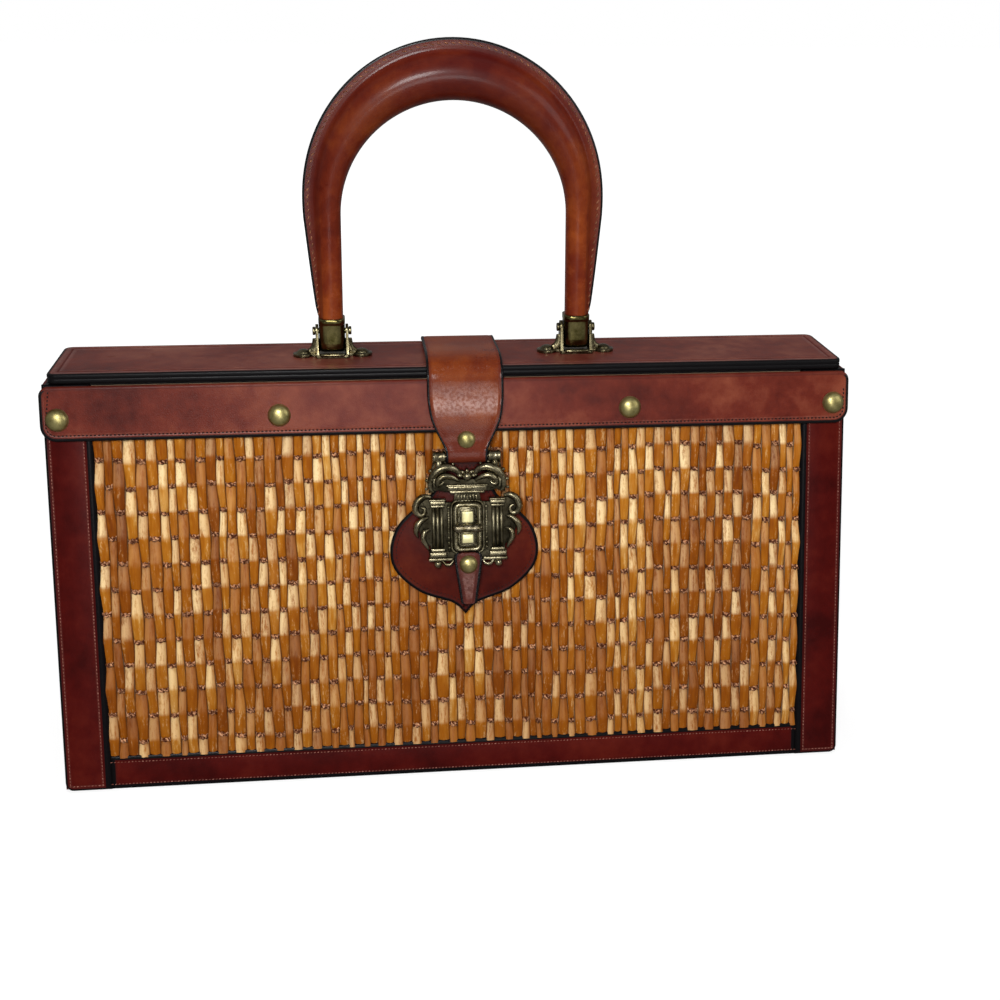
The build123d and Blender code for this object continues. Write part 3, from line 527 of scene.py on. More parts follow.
# points round a box with rounded corners, from the lower left corner, anticlockwise, drawn in by inset
def roundedBox(left, right, low, high, radii, inset, steps=7):
    left, right, low, high = left + inset, right - inset, low + inset, high - inset
    corners = [(left, low, 1, 1, 180), (right, low, -1, 1, 270), (right, high, -1, -1, 0),
               (left, high, 1, -1, 90)]
    points = []
    for (x, y, wayX, wayY, start), radius in zip(corners, radii):
        bend = max(radius - inset, 0.05)
        for step in range(steps + 1):
            angle = math.radians(start + 90.0 * step / steps)
            points.append((x + wayX * bend + bend * math.cos(angle),
                           y + wayY * bend + bend * math.sin(angle)))
    return points


# a closed outline drawn in by inset along the middle of the corner at each point
def drawnIn(points, inset):
    result = []
    count = len(points)
    for index, (x, y) in enumerate(points):
        before, after = points[index - 1], points[(index + 1) % count]
        first = Vector((x - before[0], y - before[1])).normalized()
        second = Vector((after[0] - x, after[1] - y)).normalized()
        way = Vector((-(first.y + second.y), first.x + second.x))
        if way.length < 1e-6:
            way = Vector((-first.y, first.x))
        way.normalize()
        stretch = 1.0 / max(0.5, way.dot(Vector((-first.y, first.x))))
        result.append((x + way.x * inset * stretch, y + way.y * inset * stretch))
    return result


# the faces of a closed skin over rings of points, with both ends filled across
def skin(rings, count):
    faces = [tuple(reversed(range(count))), tuple(range((rings - 1) * count, rings * count))]
    for ring in range(rings - 1):
        for index in range(count):
            after = (index + 1) % count
            a, b = ring * count + index, ring * count + after
            faces.append((a, b, b + count, a + count))
    return faces


# leather built from rings of points, from the back edge over the rim to the face. A ring is
# (points, height, paint, burnish and sheen), and the first and the last one are filled across. Height, paint
# and burnish and sheen can be functions of (u, v). Above zero that last value darkens the leather, below zero
# it paints it pale, as rubbed wear or as a painted highlight
def leatherSheet(name, rings, place):
    points, paint, burnish = [], [], []
    for ringPoints, height, black, dark in rings:
        for u, v in ringPoints:
            points.append(place(u, v, height(u, v) if callable(height) else height))
            paint.append(black(u, v) if callable(black) else black)
            burnish.append(dark(u, v) if callable(dark) else dark)
    faces = skin(len(rings), len(rings[0][0]))
    return triangulated(makeMesh(name, points, faces, {"paint": paint, "burnish": burnish}))


def triangulated(made):
    work = bmesh.new()
    work.from_mesh(made.data)
    bmesh.ops.triangulate(work, faces=[face for face in work.faces if len(face.verts) > 4])
    work.to_mesh(made.data)
    work.free()
    return made


# the usual edge of a strap leather piece: cut side, rounded shoulder, painted rim, crease and face
def edgeRings(outline, low, high, edge, paintWidth):
    shoulder = edge * 0.35
    return [
        (outline(0.25), low, 1.0, 0.0),
        (outline(0.0), low + 0.25, 1.0, 0.0),
        (outline(0.0), high - edge, 1.0, 0.0),
        (outline(shoulder * 0.5), high - edge * 0.45, 1.0, 0.0),
        (outline(shoulder * 1.4), high - edge * 0.12, 1.0, 0.0),
        (outline(paintWidth - 0.1), high, 1.0, 0.0),
        (outline(paintWidth + 0.12), high - 0.02, 0.0, 0.6),
        (outline(paintWidth + 0.5), high - 0.1, 0.0, 0.35),
        (outline(paintWidth + 1.2), high, 0.0, 0.0),
    ]


# shapes

# points along a smooth curve through the given ones
def smoothPath(points, steps):
    result = []
    last = len(points) - 1
    for index in range(last):
        near = [points[max(index - 1, 0)], points[index], points[index + 1], points[min(index + 2, last)]]
        for step in range(steps):
            t = step / steps
            result.append(tuple(
                0.5 * (2 * b + (c - a) * t + (2 * a - 5 * b + 4 * c - d) * t * t
                       + (3 * b - a - 3 * c + d) * t ** 3)
                for a, b, c, d in zip(*near)))
    result.append(tuple(float(value) for value in points[last]))
    return result


# points and faces in millimetres, gathered into one mesh
class Shape:
    def __init__(self):
        self.points = []
        self.faces = []

    # a skin over rings of points, closed at both ends or joined end to start as a loop
    def rings(self, rings, loop=False):
        start, count = len(self.points), len(rings[0])
        for ring in rings:
            self.points.extend(ring)
        for ring in range(len(rings) if loop else len(rings) - 1):
            low, high = start + ring * count, start + (ring + 1) % len(rings) * count
            for index in range(count):
                after = (index + 1) % count
                self.faces.append((low + index, low + after, high + after, high + index))
        if not loop:
            self.faces.append(tuple(start + index for index in reversed(range(count))))
            self.faces.append(tuple(start + (len(rings) - 1) * count + index for index in range(count)))
        return self

    # a flat piece with a rounded front edge
    def slab(self, outline, low, high, edge):
        self.rings([
            [(u, v, low) for u, v in outline],
            [(u, v, high - edge) for u, v in outline],
            [(u, v, high - edge * 0.35) for u, v in drawnIn(outline, edge * 0.3)],
            [(u, v, high) for u, v in drawnIn(outline, edge)],
        ])
        return self

    def block(self, left, right, bottom, top, low, high, edge=0.35):
        outline = roundedBox(left, right, bottom, top, (0.5,) * 4, 0.0, 3)
        return self.slab(outline, low, high, edge)

    # a rod along (u, v, d, radius) points, lower than it is wide where flat is under one
    def tube(self, path, sides=8, flat=1.0, flutes=0.0):
        rings = []
        last = len(path) - 1
        for index, (u, v, d, radius) in enumerate(path):
            before, after = path[max(index - 1, 0)], path[min(index + 1, last)]
            along = Vector(after[:3]) - Vector(before[:3])
            along.normalize()
            across = along.cross(Vector((0, 0, 1)))
            if across.length < 1e-4:
                across = Vector((1, 0, 0))
            across.normalize()
            out = across.cross(along)
            ring = []
            for side in range(sides):
                angle = 2 * math.pi * side / sides
                reach = radius * (1 + flutes * math.cos(angle * 4))
                spot = Vector((u, v, d)) + across * reach * math.cos(angle)
                spot += out * reach * flat * math.sin(angle)
                ring.append(tuple(spot))
            rings.append(ring)
        return self.rings(rings)

    # a round shape that stands on the face: (radius, height) pairs
    def turned(self, centre, profile, sides=24):
        rings = []
        for radius, height in profile:
            rings.append([(centre[0] + radius * math.cos(2 * math.pi * i / sides),
                           centre[1] + radius * math.sin(2 * math.pi * i / sides), centre[2] + height)
                          for i in range(sides)])
        return self.rings(rings)

    def ball(self, centre, radius, sides=12, flat=1.0):
        profile = [(max(0.02, math.sin(math.pi * i / 8)) * radius, -math.cos(math.pi * i / 8) * radius * flat)
                   for i in range(9)]
        return self.turned(centre, profile, sides)

    def piece(self, name, place):
        relief = [point[2] for point in self.points]
        points = [place(*point) for point in self.points]
        return triangulated(makeMesh(name, points, self.faces, {"relief": relief}))


def flatPlace(x, y, z):
    return Vector((x, y, z)) * mm


def domeProfile(radius, rise, lip=0.35):
    profile = [(radius, 0.0), (radius, lip * 0.7), (radius - 0.15, lip)]
    for step in range(1, 9):
        angle = math.pi / 2 * step / 8
        profile.append((max(0.02, (radius - 0.25) * math.cos(angle)), lip + (rise - lip) * math.sin(angle)))
    return profile


def studs(name, spots, stand, radius, rise, body, finishSlot, material, node, sunk=0.4):
    shape = Shape()
    for u, v in spots:
        dome = [(r, h + sunk) for r, h in domeProfile(radius, rise)]
        shape.turned((u, v, stand - sunk), [(radius, 0.0)] + dome)
    finish(shape.piece(name, onFront), body, finishSlot, material, node)


# a CAD node with its edges rounded off
def softened(name, node, body, finishSlot, material, width=0.35, segments=2):
    source = nodes[node]
    work = bmesh.new()
    work.from_mesh(source.data)
    bmesh.ops.transform(work, matrix=source.matrix_world, verts=work.verts)
    bmesh.ops.remove_doubles(work, verts=work.verts, dist=0.004 * mm)
    bmesh.ops.dissolve_limit(work, angle_limit=math.radians(1.0), verts=work.verts, edges=work.edges)
    mesh = bpy.data.meshes.new(name)
    work.to_mesh(mesh)
    work.free()
    made = linked(name, mesh)
    bevel = made.modifiers.new("bevel", "BEVEL")
    bevel.width = width * mm
    bevel.segments = segments
    bevel.limit_method = "ANGLE"
    bevel.angle_limit = math.radians(32.0)
    bevel.harden_normals = True
    mesh.polygons.foreach_set("use_smooth", [True] * len(mesh.polygons))
    bpy.context.view_layer.update()
    seen = made.evaluated_get(bpy.context.evaluated_depsgraph_get())
    rounded = bpy.data.meshes.new_from_object(seen)
    made.modifiers.clear()
    made.data = rounded
    return finish(made, body, finishSlot, material, node)


# stitches

stitching = {"pitch": 1.75, "length": 1.35, "width": 0.42, "height": 0.34, "slant": 8.0}


# a Geometry Nodes tree with its inputs, given as (names, kind of socket)
def newGroup(title, inputs):
    group = bpy.data.node_groups.new(title, "GeometryNodeTree")
    for names, kind in ((("Geometry",), "Geometry"), *inputs):
        for name in names:
            group.interface.new_socket(name, in_out="INPUT", socket_type=f"NodeSocket{kind}")
    group.interface.new_socket("Geometry", in_out="OUTPUT", socket_type="NodeSocketGeometry")
    return group, Tree(group)


# stitches laid along lines: one small oval for each, turned a little and slightly uneven
def stitchTree():
    group, tree = newGroup("stitchLine", [
        (("Pitch", "Length", "Width", "Height", "Slant"), "Float"), (("Facing",), "Vector"),
        (("Material",), "Material")])
    given = tree.node("NodeGroupInput")
    curve = tree.node("GeometryNodeMeshToCurve", {}, {"Mesh": given["Geometry"]})["Curve"]
    spread = tree.node("GeometryNodeCurveToPoints", {"mode": "LENGTH"},
                       {"Curve": curve, "Length": given["Pitch"]})
    along = tree.node("FunctionNodeAlignRotationToVector", {"axis": "X"},
                      {"Vector": spread["Tangent"]})["Rotation"]
    facing = tree.node("FunctionNodeAlignRotationToVector", {"axis": "Z", "pivot_axis": "X"}, {
        "Rotation": along, "Vector": given["Facing"]})["Rotation"]
    uneven = tree.node("FunctionNodeRandomValue", {"data_type": "FLOAT"},
                       {"Min": 0.6, "Max": 1.4, "Seed": 3})[1]
    turn = tree.node("FunctionNodeAxisAngleToRotation", {}, {
        "Axis": (0.0, 0.0, 1.0), "Angle": given["Slant"] * uneven})["Rotation"]
    turned = tree.node("FunctionNodeRotateRotation", {"rotation_space": "LOCAL"}, {
        "Rotation": facing, "Rotate By": turn})["Rotation"]
    ball = tree.node("GeometryNodeMeshUVSphere", {}, {"Segments": 6, "Rings": 5, "Radius": 0.5})["Mesh"]
    size = tree.vector(given["Length"], given["Width"], given["Height"])
    stitch = tree.node("GeometryNodeTransform", {}, {"Geometry": ball, "Scale": size})["Geometry"]
    placed = tree.node("GeometryNodeInstanceOnPoints", {}, {
        "Points": spread["Points"], "Instance": stitch, "Rotation": turned})["Instances"]
    whole = tree.node("GeometryNodeRealizeInstances", {}, {"Geometry": placed})["Geometry"]
    smooth = tree.node("GeometryNodeSetShadeSmooth", {}, {"Geometry": whole})["Geometry"]
    done = tree.node("GeometryNodeSetMaterial", {},
                     {"Geometry": smooth, "Material": given["Material"]})["Geometry"]
    tree.node("NodeGroupOutput", {}, {"Geometry": done})
    return group


# the mesh that a Geometry Nodes tree makes of the source, as an object of its own
def applied(source, group, values, name):
    modifier = source.modifiers.new("shape", "NODES")
    modifier.node_group = group
    for item in group.interface.items_tree:
        if item.item_type == "SOCKET" and item.in_out == "INPUT" and item.name in values:
            modifier[item.identifier] = values[item.name]
    source.update_tag()
    bpy.context.view_layer.update()
    seen = source.evaluated_get(bpy.context.evaluated_depsgraph_get())
    mesh = bpy.data.meshes.new_from_object(seen)
    mesh.name = name
    made = linked(name, mesh)
    bpy.data.objects.remove(source)
    return made


# open or closed lines of points in metres, as the edges of one mesh
def lineMesh(lines):
    points, edges = [], []
    for line in lines:
        start = len(points)
        points.extend(line)
        edges.extend((start + index, start + index + 1) for index in range(len(line) - 1))
    mesh = bpy.data.meshes.new("lines")
    mesh.from_pydata([tuple(point) for point in points], edges, [])
    return linked("lines", mesh)


stitchGroup = stitchTree()


def stitches(name, lines, facing, thread, body, finishSlot, changes=None):
    sizes = dict(stitching, **(changes or {}))
    values = {
        "Pitch": sizes["pitch"] * mm, "Length": sizes["length"] * mm, "Width": sizes["width"] * mm,
        "Height": sizes["height"] * mm, "Slant": math.radians(sizes["slant"]), "Facing": tuple(facing),
        "Material": thread,
    }
    made = applied(lineMesh(lines), stitchGroup, values, name)
    return finish(made, body, finishSlot, None)


# leather on the box

strips = {
    "edge": 1.3, "outerPaint": 1.1, "innerPaint": 2.7, "corner": 3.4, "sunk": 2.35,
    "innerReach": 3.0, "bottomDrop": 0.55, "bottomPaint": 1.9, "stitchPitch": 1.45,
}
bandSizes = {"edge": 0.9, "paint": 1.35, "lowerCorner": 6.5, "upperCorner": 4.0, "stitchIn": 2.45,
             "stitchPitch": 1.6}

stripInner, stripOuter = matHalfWidth, halfWidth
stripTop = rimHeight / leanCos
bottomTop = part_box("front_bottom_strip")[1].z / mm / leanCos
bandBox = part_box("front_band")
bandHalf = bandBox[1].x / mm
bandLift = 2.0
bandTop = (bandBox[1].z / mm - bandLift * leanSin) / leanCos
bandBottom = bandBox[0].z / mm / leanCos


# an upright strip: a wide black rolled edge beside the matting, a narrow one outside
def sideStrip(name, side, place, node):
    left, right = sorted((side * stripInner, side * stripOuter))
    corner = strips["corner"]
    radii = (corner, 0.3, 0.3, 0.3) if side < 0 else (0.3, corner, 0.3, 0.3)

    def outline(inner, outer):
        base = roundedBox(left, right, 0.0, stripTop, radii, outer)
        shifted = []
        for u, v in base:
            towards = abs(u) < stripInner + strips["innerReach"] + outer
            shifted.append((u - side * outer + side * inner if towards else u, v))
        return shifted

    edge, paintIn, paintOut = strips["edge"], strips["innerPaint"], strips["outerPaint"]
    deep = -strips["sunk"]
    rings = [
        (outline(0.0, 0.25), deep, 1.0, 0.0),
        (outline(0.0, 0.0), deep + 0.3, 1.0, 0.0),
        (outline(0.0, 0.0), -edge, 1.0, 0.0),
        (outline(0.3, 0.15), -edge * 0.55, 1.0, 0.0),
        (outline(0.85, 0.45), -edge * 0.2, 1.0, 0.0),
        (outline(1.5, 0.8), 0.0, 1.0, 0.0),
        (outline(paintIn - 0.12, paintOut - 0.1), 0.0, 1.0, 0.0),
        (outline(paintIn + 0.12, paintOut + 0.12), -0.03, 0.0, 0.6),
        (outline(paintIn + 0.6, paintOut + 0.5), -0.1, 0.0, 0.35),
        (outline(paintIn + 0.9, paintOut + 0.85), -0.12, 0.0, -0.5),
        (outline(paintIn + 1.3, paintOut + 1.25), -0.12, 0.0, -0.5),
        (outline(paintIn + 1.8, paintOut + 1.7), 0.0, 0.0, 0.0),
    ]
    made = leatherSheet(name, rings, place)
    return finish(made, "box", "oxblood_leather", leather["oxblood"], node)


def bottomStrip(name, place, node):
    drop = strips["bottomDrop"]

    def outline(inset):
        return roundedBox(-stripInner - 0.4, stripInner + 0.4, 0.0, bottomTop, (0.3, 0.3, 0.3, 0.3), inset)

    rings = edgeRings(outline, -strips["sunk"], -drop, 1.0, strips["bottomPaint"])
    made = leatherSheet(name, rings, place)
    return finish(made, "box", "oxblood_leather", leather["oxblood"], node)


def topBand(name, place, node):
    low, high = bandSizes["lowerCorner"], bandSizes["upperCorner"]

    def outline(inset):
        return roundedBox(-bandHalf, bandHalf, bandBottom, bandTop, (low, low, high, high), inset, 10)

    def below(low, otherwise):
        return lambda u, v: low if v < bandTop - 6.0 else otherwise

    edge, paint, seam = bandSizes["edge"], bandSizes["paint"], bandSizes["stitchIn"]
    painted = [(points, height, (lambda u, v: 1.0 if v < bandTop - 1.6 else 0.0) if black else 0.0, 0.5)
               for points, height, black, dark in edgeRings(outline, 0.0, bandLift, edge, paint)[:-2]]
    rings = painted + [
        (outline(paint + 0.35), bandLift, 0.0, 0.2),
        (outline(seam - 0.5), bandLift, 0.0, below(-0.45, 0.0)),
        (outline(seam - 0.2), below(bandLift - 0.12, bandLift), 0.0, below(-0.2, 0.0)),
        (outline(seam + 0.2), below(bandLift - 0.12, bandLift), 0.0, below(-0.2, 0.0)),
        (outline(seam + 0.5), bandLift, 0.0, below(-0.5, 0.0)),
        (outline(seam + 1.1), bandLift, 0.0, 0.0),
    ]
    made = leatherSheet(name, rings, place)
    return finish(made, "box", "mahogany_leather", leather["mahogany"], node)


# a straight line of points on a face
def spaced(start, end, place, height, gap=4.0):
    steps = max(1, int(math.dist(start, end) / gap))
    return [place(start[0] + (end[0] - start[0]) * i / steps,
                  start[1] + (end[1] - start[1]) * i / steps, height)
            for i in range(steps + 1)]


def boxLeather():
    for title, place, way in (("front", onFront, frontWay), ("back", onBack, Vector((0, leanCos, leanSin)))):
        for side, word in ((-1, "left"), (1, "right")):
            sideStrip(f"{title}{word.capitalize()}Strip", side, place, f"{title}_{word}_strip")
        bottomStrip(f"{title}BottomStrip", place, f"{title}_bottom_strip")
        topBand(f"{title}Band", place, f"{title}_band")
        inner = stripInner + strips["innerPaint"] + 1.1
        outer = stripOuter - strips["outerPaint"] - 1.05
        lines = []
        for side in (-1, 1):
            lines.append(spaced((side * inner, 2.2), (side * inner, bandBottom), place, 0.0))
            lines.append(spaced((side * outer, 3.0), (side * outer, bandBottom), place, 0.0))
            lines.append(spaced((side * outer, 2.2), (side * inner, 2.2), place, 0.0))
        height = bottomTop - strips["bottomPaint"] - 1.0
        lines.append(spaced((-stripInner, height), (stripInner, height), place, -strips["bottomDrop"]))
        lines.append(spaced((-stripInner, 2.2), (stripInner, 2.2), place, -strips["bottomDrop"]))
        stitches(f"{title}StripStitches", lines, way, paleThread, "box", "oxblood_leather",
                 {"pitch": strips["stitchPitch"], "length": 0.95, "width": 0.42})
        inset = bandSizes["stitchIn"]
        low = bandSizes["lowerCorner"]
        perCorner = 11
        around = roundedBox(-bandHalf, bandHalf, bandBottom, bandTop, (low, low, 4.0, 4.0), inset,
                            perCorner - 1)
        path = [around[3 * perCorner]] + around[:2 * perCorner + 1]
        dense = []
        for first, second in zip(path, path[1:]):
            dense.extend(spaced(first, second, place, bandLift - 0.05)[:-1])
        stitches(f"{title}BandStitches", [dense], way, darkThread, "box", "mahogany_leather",
                 {"pitch": bandSizes["stitchPitch"], "length": 1.1, "width": 0.72, "height": 0.5,
                  "slant": 3.0})
    print("box leather made")


# reed matting

matting = {
    "reeds": 78, "rows": 12.8, "rowStart": 0.25, "uneven": 0.26, "gap": 0.02, "bulge": 0.55, "rise": 1.5,
    "pinch": 0.1, "sway": 1.5, "skew": 0.35, "jitter": 0.07, "base": -1.95, "perRow": 8, "columns": 7,
    "seed": 11,
    "cordThick": 0.66, "cordTwist": 0.56, "cordTurns": 1.0, "cordHeight": 1.05,
}


# upright reeds side by side. Each one dips under the cord at every second row and rises at the rows
# between, so neighbours go in and out by turns
def reedTree():
    group, tree = newGroup("reedRow", [
        (("Reeds", "Columns", "Points Along", "Seed"), "Int"),
        (("Width", "Height", "Rows", "Row Start", "Uneven", "Gap", "Bulge", "Rise", "Pinch", "Sway", "Skew",
          "Jitter", "Base", "Cord Thickness", "Cord Twist", "Cord Turns", "Cord Height"), "Float"),
        (("Cords",), "Bool"), (("Material",), "Material")])
    given = tree.node("NodeGroupInput")
    index = tree.node("GeometryNodeInputIndex")["Index"]

    def rand(low, high, seed):
        return tree.node("FunctionNodeRandomValue", {"data_type": "FLOAT"}, {
            "Min": low, "Max": high, "Seed": given["Seed"] + seed})[1]

    def store(geometry, name, value):
        return tree.node("GeometryNodeStoreNamedAttribute", {"data_type": "FLOAT", "domain": "POINT"}, {
            "Geometry": geometry, "Name": name, "Value": value})["Geometry"]

    def read(name):
        return tree.node("GeometryNodeInputNamedAttribute", {"data_type": "FLOAT"},
                         {"Name": name})["Attribute"]

    # one point for each reed, spaced by its own width
    row = tree.node("GeometryNodeMeshLine", {}, {"Count": given["Reeds"], "Offset": (0.0, 0.0, 0.0)})["Mesh"]
    share = 1.0 + (rand(-1.0, 1.0, 0) * given["Uneven"])
    added = tree.node("GeometryNodeAccumulateField", {"data_type": "FLOAT"}, {"Value": share})
    scale = given["Width"] / added["Total"]
    row = store(row, "reedWidth", share * scale)
    row = store(row, "reedMiddle", (added["Leading"] - share * 0.5) * scale - given["Width"] * 0.5)
    row = store(row, "reedIndex", index)
    row = store(row, "reedTone", rand(0.0, 1.0, 5))
    row = store(row, "reedTilt", rand(-1.0, 1.0, 7))

    # where the rows lie on a reed: they wander a little from reed to reed
    def rowShift(reedNumber, tone):
        wave = tree.node("ShaderNodeTexNoise", {"noise_dimensions": "1D"}, {
            "W": reedNumber * 0.09, "Scale": 1.0, "Detail": 1.0})["Fac"]
        return (wave - 0.5) * 0.5 + (tone - 0.5) * given["Jitter"] * 2.0 + given["Row Start"]

    strip = tree.node("GeometryNodeMeshGrid", {}, {
        "Size X": 1.0, "Size Y": 1.0, "Vertices X": given["Columns"],
        "Vertices Y": given["Points Along"]})["Mesh"]
    place = tree.node("GeometryNodeInputPosition")["Position"]
    parts = tree.parts(place)
    strip = store(strip, "across", parts["X"])
    strip = store(strip, "along", parts["Y"] + 0.5)
    reeds = tree.node("GeometryNodeInstanceOnPoints", {}, {"Points": row, "Instance": strip})["Instances"]
    reeds = tree.node("GeometryNodeRealizeInstances", {}, {"Geometry": reeds})["Geometry"]
    across, along = read("across"), read("along")
    number, tone, width = read("reedIndex"), read("reedTone"), read("reedWidth")
    level = along * given["Rows"] + rowShift(number, tone)
    phase = ((level + number) * 0.5) % 1.0
    wave = 1.0 - (phase * 2.0 - 1.0).abs()
    lift = 1.0 - (1.0 - wave) ** 1.12
    upper = tree.range(phase, 0.5, 0.54) * tree.range(phase, 1.0, 0.96)
    bound = tree.range(wave, 0.35, 0.0, 0.0, 1.0, True)

    # neighbours share the wandering line between them
    def sideLine(lineNumber, height):
        drift = tree.node("ShaderNodeTexNoise", {"noise_dimensions": "2D"}, {
            "Vector": tree.vector(lineNumber * 7.31, height * 0.55, 0.0), "Scale": 1.0, "Detail": 0.0})["Fac"]
        return (drift - 0.5) * given["Sway"]

    leftSide, rightSide = sideLine(number, level), sideLine(number + 1.0, level)
    edge = tree.node("ShaderNodeTexNoise", {"noise_dimensions": "2D"}, {
        "Vector": tree.vector(number * 3.17 + across * 2.4, level * 0.8, 0.0), "Scale": 1.0,
        "Detail": 1.0})["Fac"]
    half = width * 0.5 - given["Gap"] * 0.5
    narrow = 1.04 - (1.0 - wave) * given["Pinch"]
    x = read("reedMiddle") + across * 2.0 * half * narrow
    x = x + leftSide * (0.5 - across) + rightSide * (0.5 + across)
    x = x + across * 2.0 * (edge - 0.5) * given["Skew"]
    dome = 1.0 - (across * 2.0) ** 2.0
    z = given["Base"] + given["Rise"] * lift + given["Bulge"] * dome * (1.0 - bound * 0.3)
    z = z + across * read("reedTilt") * 0.0003
    reeds = tree.node("GeometryNodeSetPosition", {}, {
        "Geometry": reeds, "Position": tree.vector(x, along * given["Height"], z)})["Geometry"]
    reeds = store(reeds, "lift", lift)
    reeds = store(reeds, "upper", upper)
    cell = ((level + number) * 0.5).floor()
    chance = tree.node("ShaderNodeTexWhiteNoise", {"noise_dimensions": "2D"}, {
        "Vector": tree.vector(number + 0.5, cell + 0.5, 0.0)})["Value"]
    reeds = store(reeds, "reedPart", chance)

    # the cord: a short twisted pair over each reed at the rows where it dips
    total = tree.node("FunctionNodeFloatToInt", {"rounding_mode": "CEILING"},
                      {"Float": given["Rows"] + 2.0})[0]
    grid = tree.node("GeometryNodeMeshLine", {}, {
        "Count": given["Reeds"] * total, "Offset": (0.0, 0.0, 0.0)})["Mesh"]
    whichRow = (index / given["Reeds"]).floor()
    whichReed = index - whichRow * given["Reeds"]

    def sample(name):
        return tree.node("GeometryNodeSampleIndex", {"data_type": "FLOAT", "domain": "POINT"}, {
            "Geometry": row, "Value": read(name), "Index": whichReed})["Value"]

    grid = store(grid, "cordRow", whichRow)
    grid = store(grid, "cordReed", whichReed)
    grid = store(grid, "cordWidth", sample("reedWidth"))
    grid = store(grid, "cordMiddle", sample("reedMiddle"))
    grid = store(grid, "cordTone", sample("reedTone"))
    cordRow, cordReed, cordTone = read("cordRow"), read("cordReed"), read("cordTone")
    where = (cordRow - rowShift(cordReed, cordTone)) / given["Rows"]
    odd = ((cordRow + cordReed) % 2.0) > 0.5
    outside = tree.node("FunctionNodeBooleanMath", {"operation": "OR"},
                        {0: where < 0.004, 1: where > 0.996})[0]
    drop = tree.node("FunctionNodeBooleanMath", {"operation": "OR"}, {0: odd, 1: outside})[0]
    leftSide, rightSide = sideLine(cordReed, cordRow), sideLine(cordReed + 1.0, cordRow)
    grid = store(grid, "cordWidth", read("cordWidth") + rightSide - leftSide)
    spot = tree.vector(read("cordMiddle") + (leftSide + rightSide) * 0.5, where * given["Height"],
                  given["Base"] + given["Bulge"] * 0.7)
    grid = tree.node("GeometryNodeSetPosition", {}, {"Geometry": grid, "Position": spot})["Geometry"]
    grid = tree.node("GeometryNodeDeleteGeometry", {"domain": "POINT"}, {
        "Geometry": grid, "Selection": drop})["Geometry"]

    def strand(start):
        line = tree.node("GeometryNodeCurvePrimitiveLine", {},
                         {"Start": (-0.5, 0, 0), "End": (0.5, 0, 0)})["Curve"]
        line = tree.node("GeometryNodeResampleCurve", {}, {"Curve": line, "Count": 11})["Curve"]
        factor = tree.node("GeometryNodeSplineParameter")["Factor"]
        turn = factor * given["Cord Turns"] * (2 * math.pi) + start
        side = factor * 2.0 - 1.0
        arch = 1.0 - side.abs() ** 3.0
        height = arch * given["Cord Height"] * 1.6 - given["Cord Height"] * 0.6
        shape = tree.vector(side * 0.52, turn.cos() * given["Cord Twist"],
                            height + turn.sin() * given["Cord Twist"])
        line = tree.node("GeometryNodeSetPosition", {}, {"Geometry": line, "Position": shape})["Geometry"]
        ring = tree.node("GeometryNodeCurvePrimitiveCircle", {}, {
            "Resolution": 5, "Radius": given["Cord Thickness"]})["Curve"]
        return tree.node("GeometryNodeCurveToMesh", {}, {
            "Curve": line, "Profile Curve": ring, "Fill Caps": True})["Mesh"]

    pair = tree.node("GeometryNodeJoinGeometry")
    for start in (0.0, math.pi):
        group.links.new(strand(start).socket, pair.node.inputs[0])
    stretch = tree.vector(read("cordWidth") * 0.9, rand(0.85, 1.15, 23), 1.0)
    skew = tree.vector(0.0, 0.0, rand(-0.2, 0.2, 21))
    cords = tree.node("GeometryNodeInstanceOnPoints", {}, {
        "Points": grid, "Instance": pair[0], "Scale": stretch, "Rotation": skew})["Instances"]
    cords = tree.node("GeometryNodeRealizeInstances", {}, {"Geometry": cords})["Geometry"]
    picked = tree.node("GeometryNodeSwitch", {"input_type": "GEOMETRY"}, {
        "Switch": given["Cords"], "False": reeds, "True": cords})["Output"]
    smooth = tree.node("GeometryNodeSetShadeSmooth", {}, {"Geometry": picked})["Geometry"]
    done = tree.node("GeometryNodeSetMaterial", {},
                     {"Geometry": smooth, "Material": given["Material"]})["Geometry"]
    tree.node("NodeGroupOutput", {}, {"Geometry": done})
    return group


def reedMats():
    group = reedTree()
    low, high = bottomTop - 1.2, bandBottom + 3.0
    for title, place, seed in (("front", onFront, 0), ("back", onBack, 40)):
        values = {
            "Reeds": matting["reeds"], "Columns": matting["columns"],
            "Points Along": int(matting["rows"] * matting["perRow"]) + 1, "Seed": matting["seed"] + seed,
            "Width": 2 * (matHalfWidth + 0.6) * mm, "Height": (high - low) * mm, "Rows": matting["rows"],
            "Row Start": matting["rowStart"], "Uneven": matting["uneven"], "Jitter": matting["jitter"],
            "Pinch": matting["pinch"], "Cord Turns": matting["cordTurns"],
        }
        for key, name in (("gap", "Gap"), ("bulge", "Bulge"), ("rise", "Rise"), ("sway", "Sway"),
                          ("skew", "Skew"),
                          ("base", "Base"), ("cordThick", "Cord Thickness"), ("cordTwist", "Cord Twist"),
                          ("cordHeight", "Cord Height")):
            values[name] = matting[key] * mm

        def atHeight(u, v, d, place=place):
            return place(u, v + low, d)

        for cords, name, material in ((False, f"{title}Reeds", reed), (True, f"{title}Bindings", binding)):
            blank = makeMesh("blank", [(0, 0, 0)], [])
            made = applied(blank, group, dict(values, Cords=cords, Material=material), name)
            for vertex in made.data.vertices:
                vertex.co = atHeight(vertex.co.x / mm, vertex.co.y / mm, vertex.co.z / mm)
            if place is onBack:
                made.data.flip_normals()
            finish(made, "box", "reed", None, *([] if cords else [f"{title}_reed_mat"]))
    print("matting made")


# handle

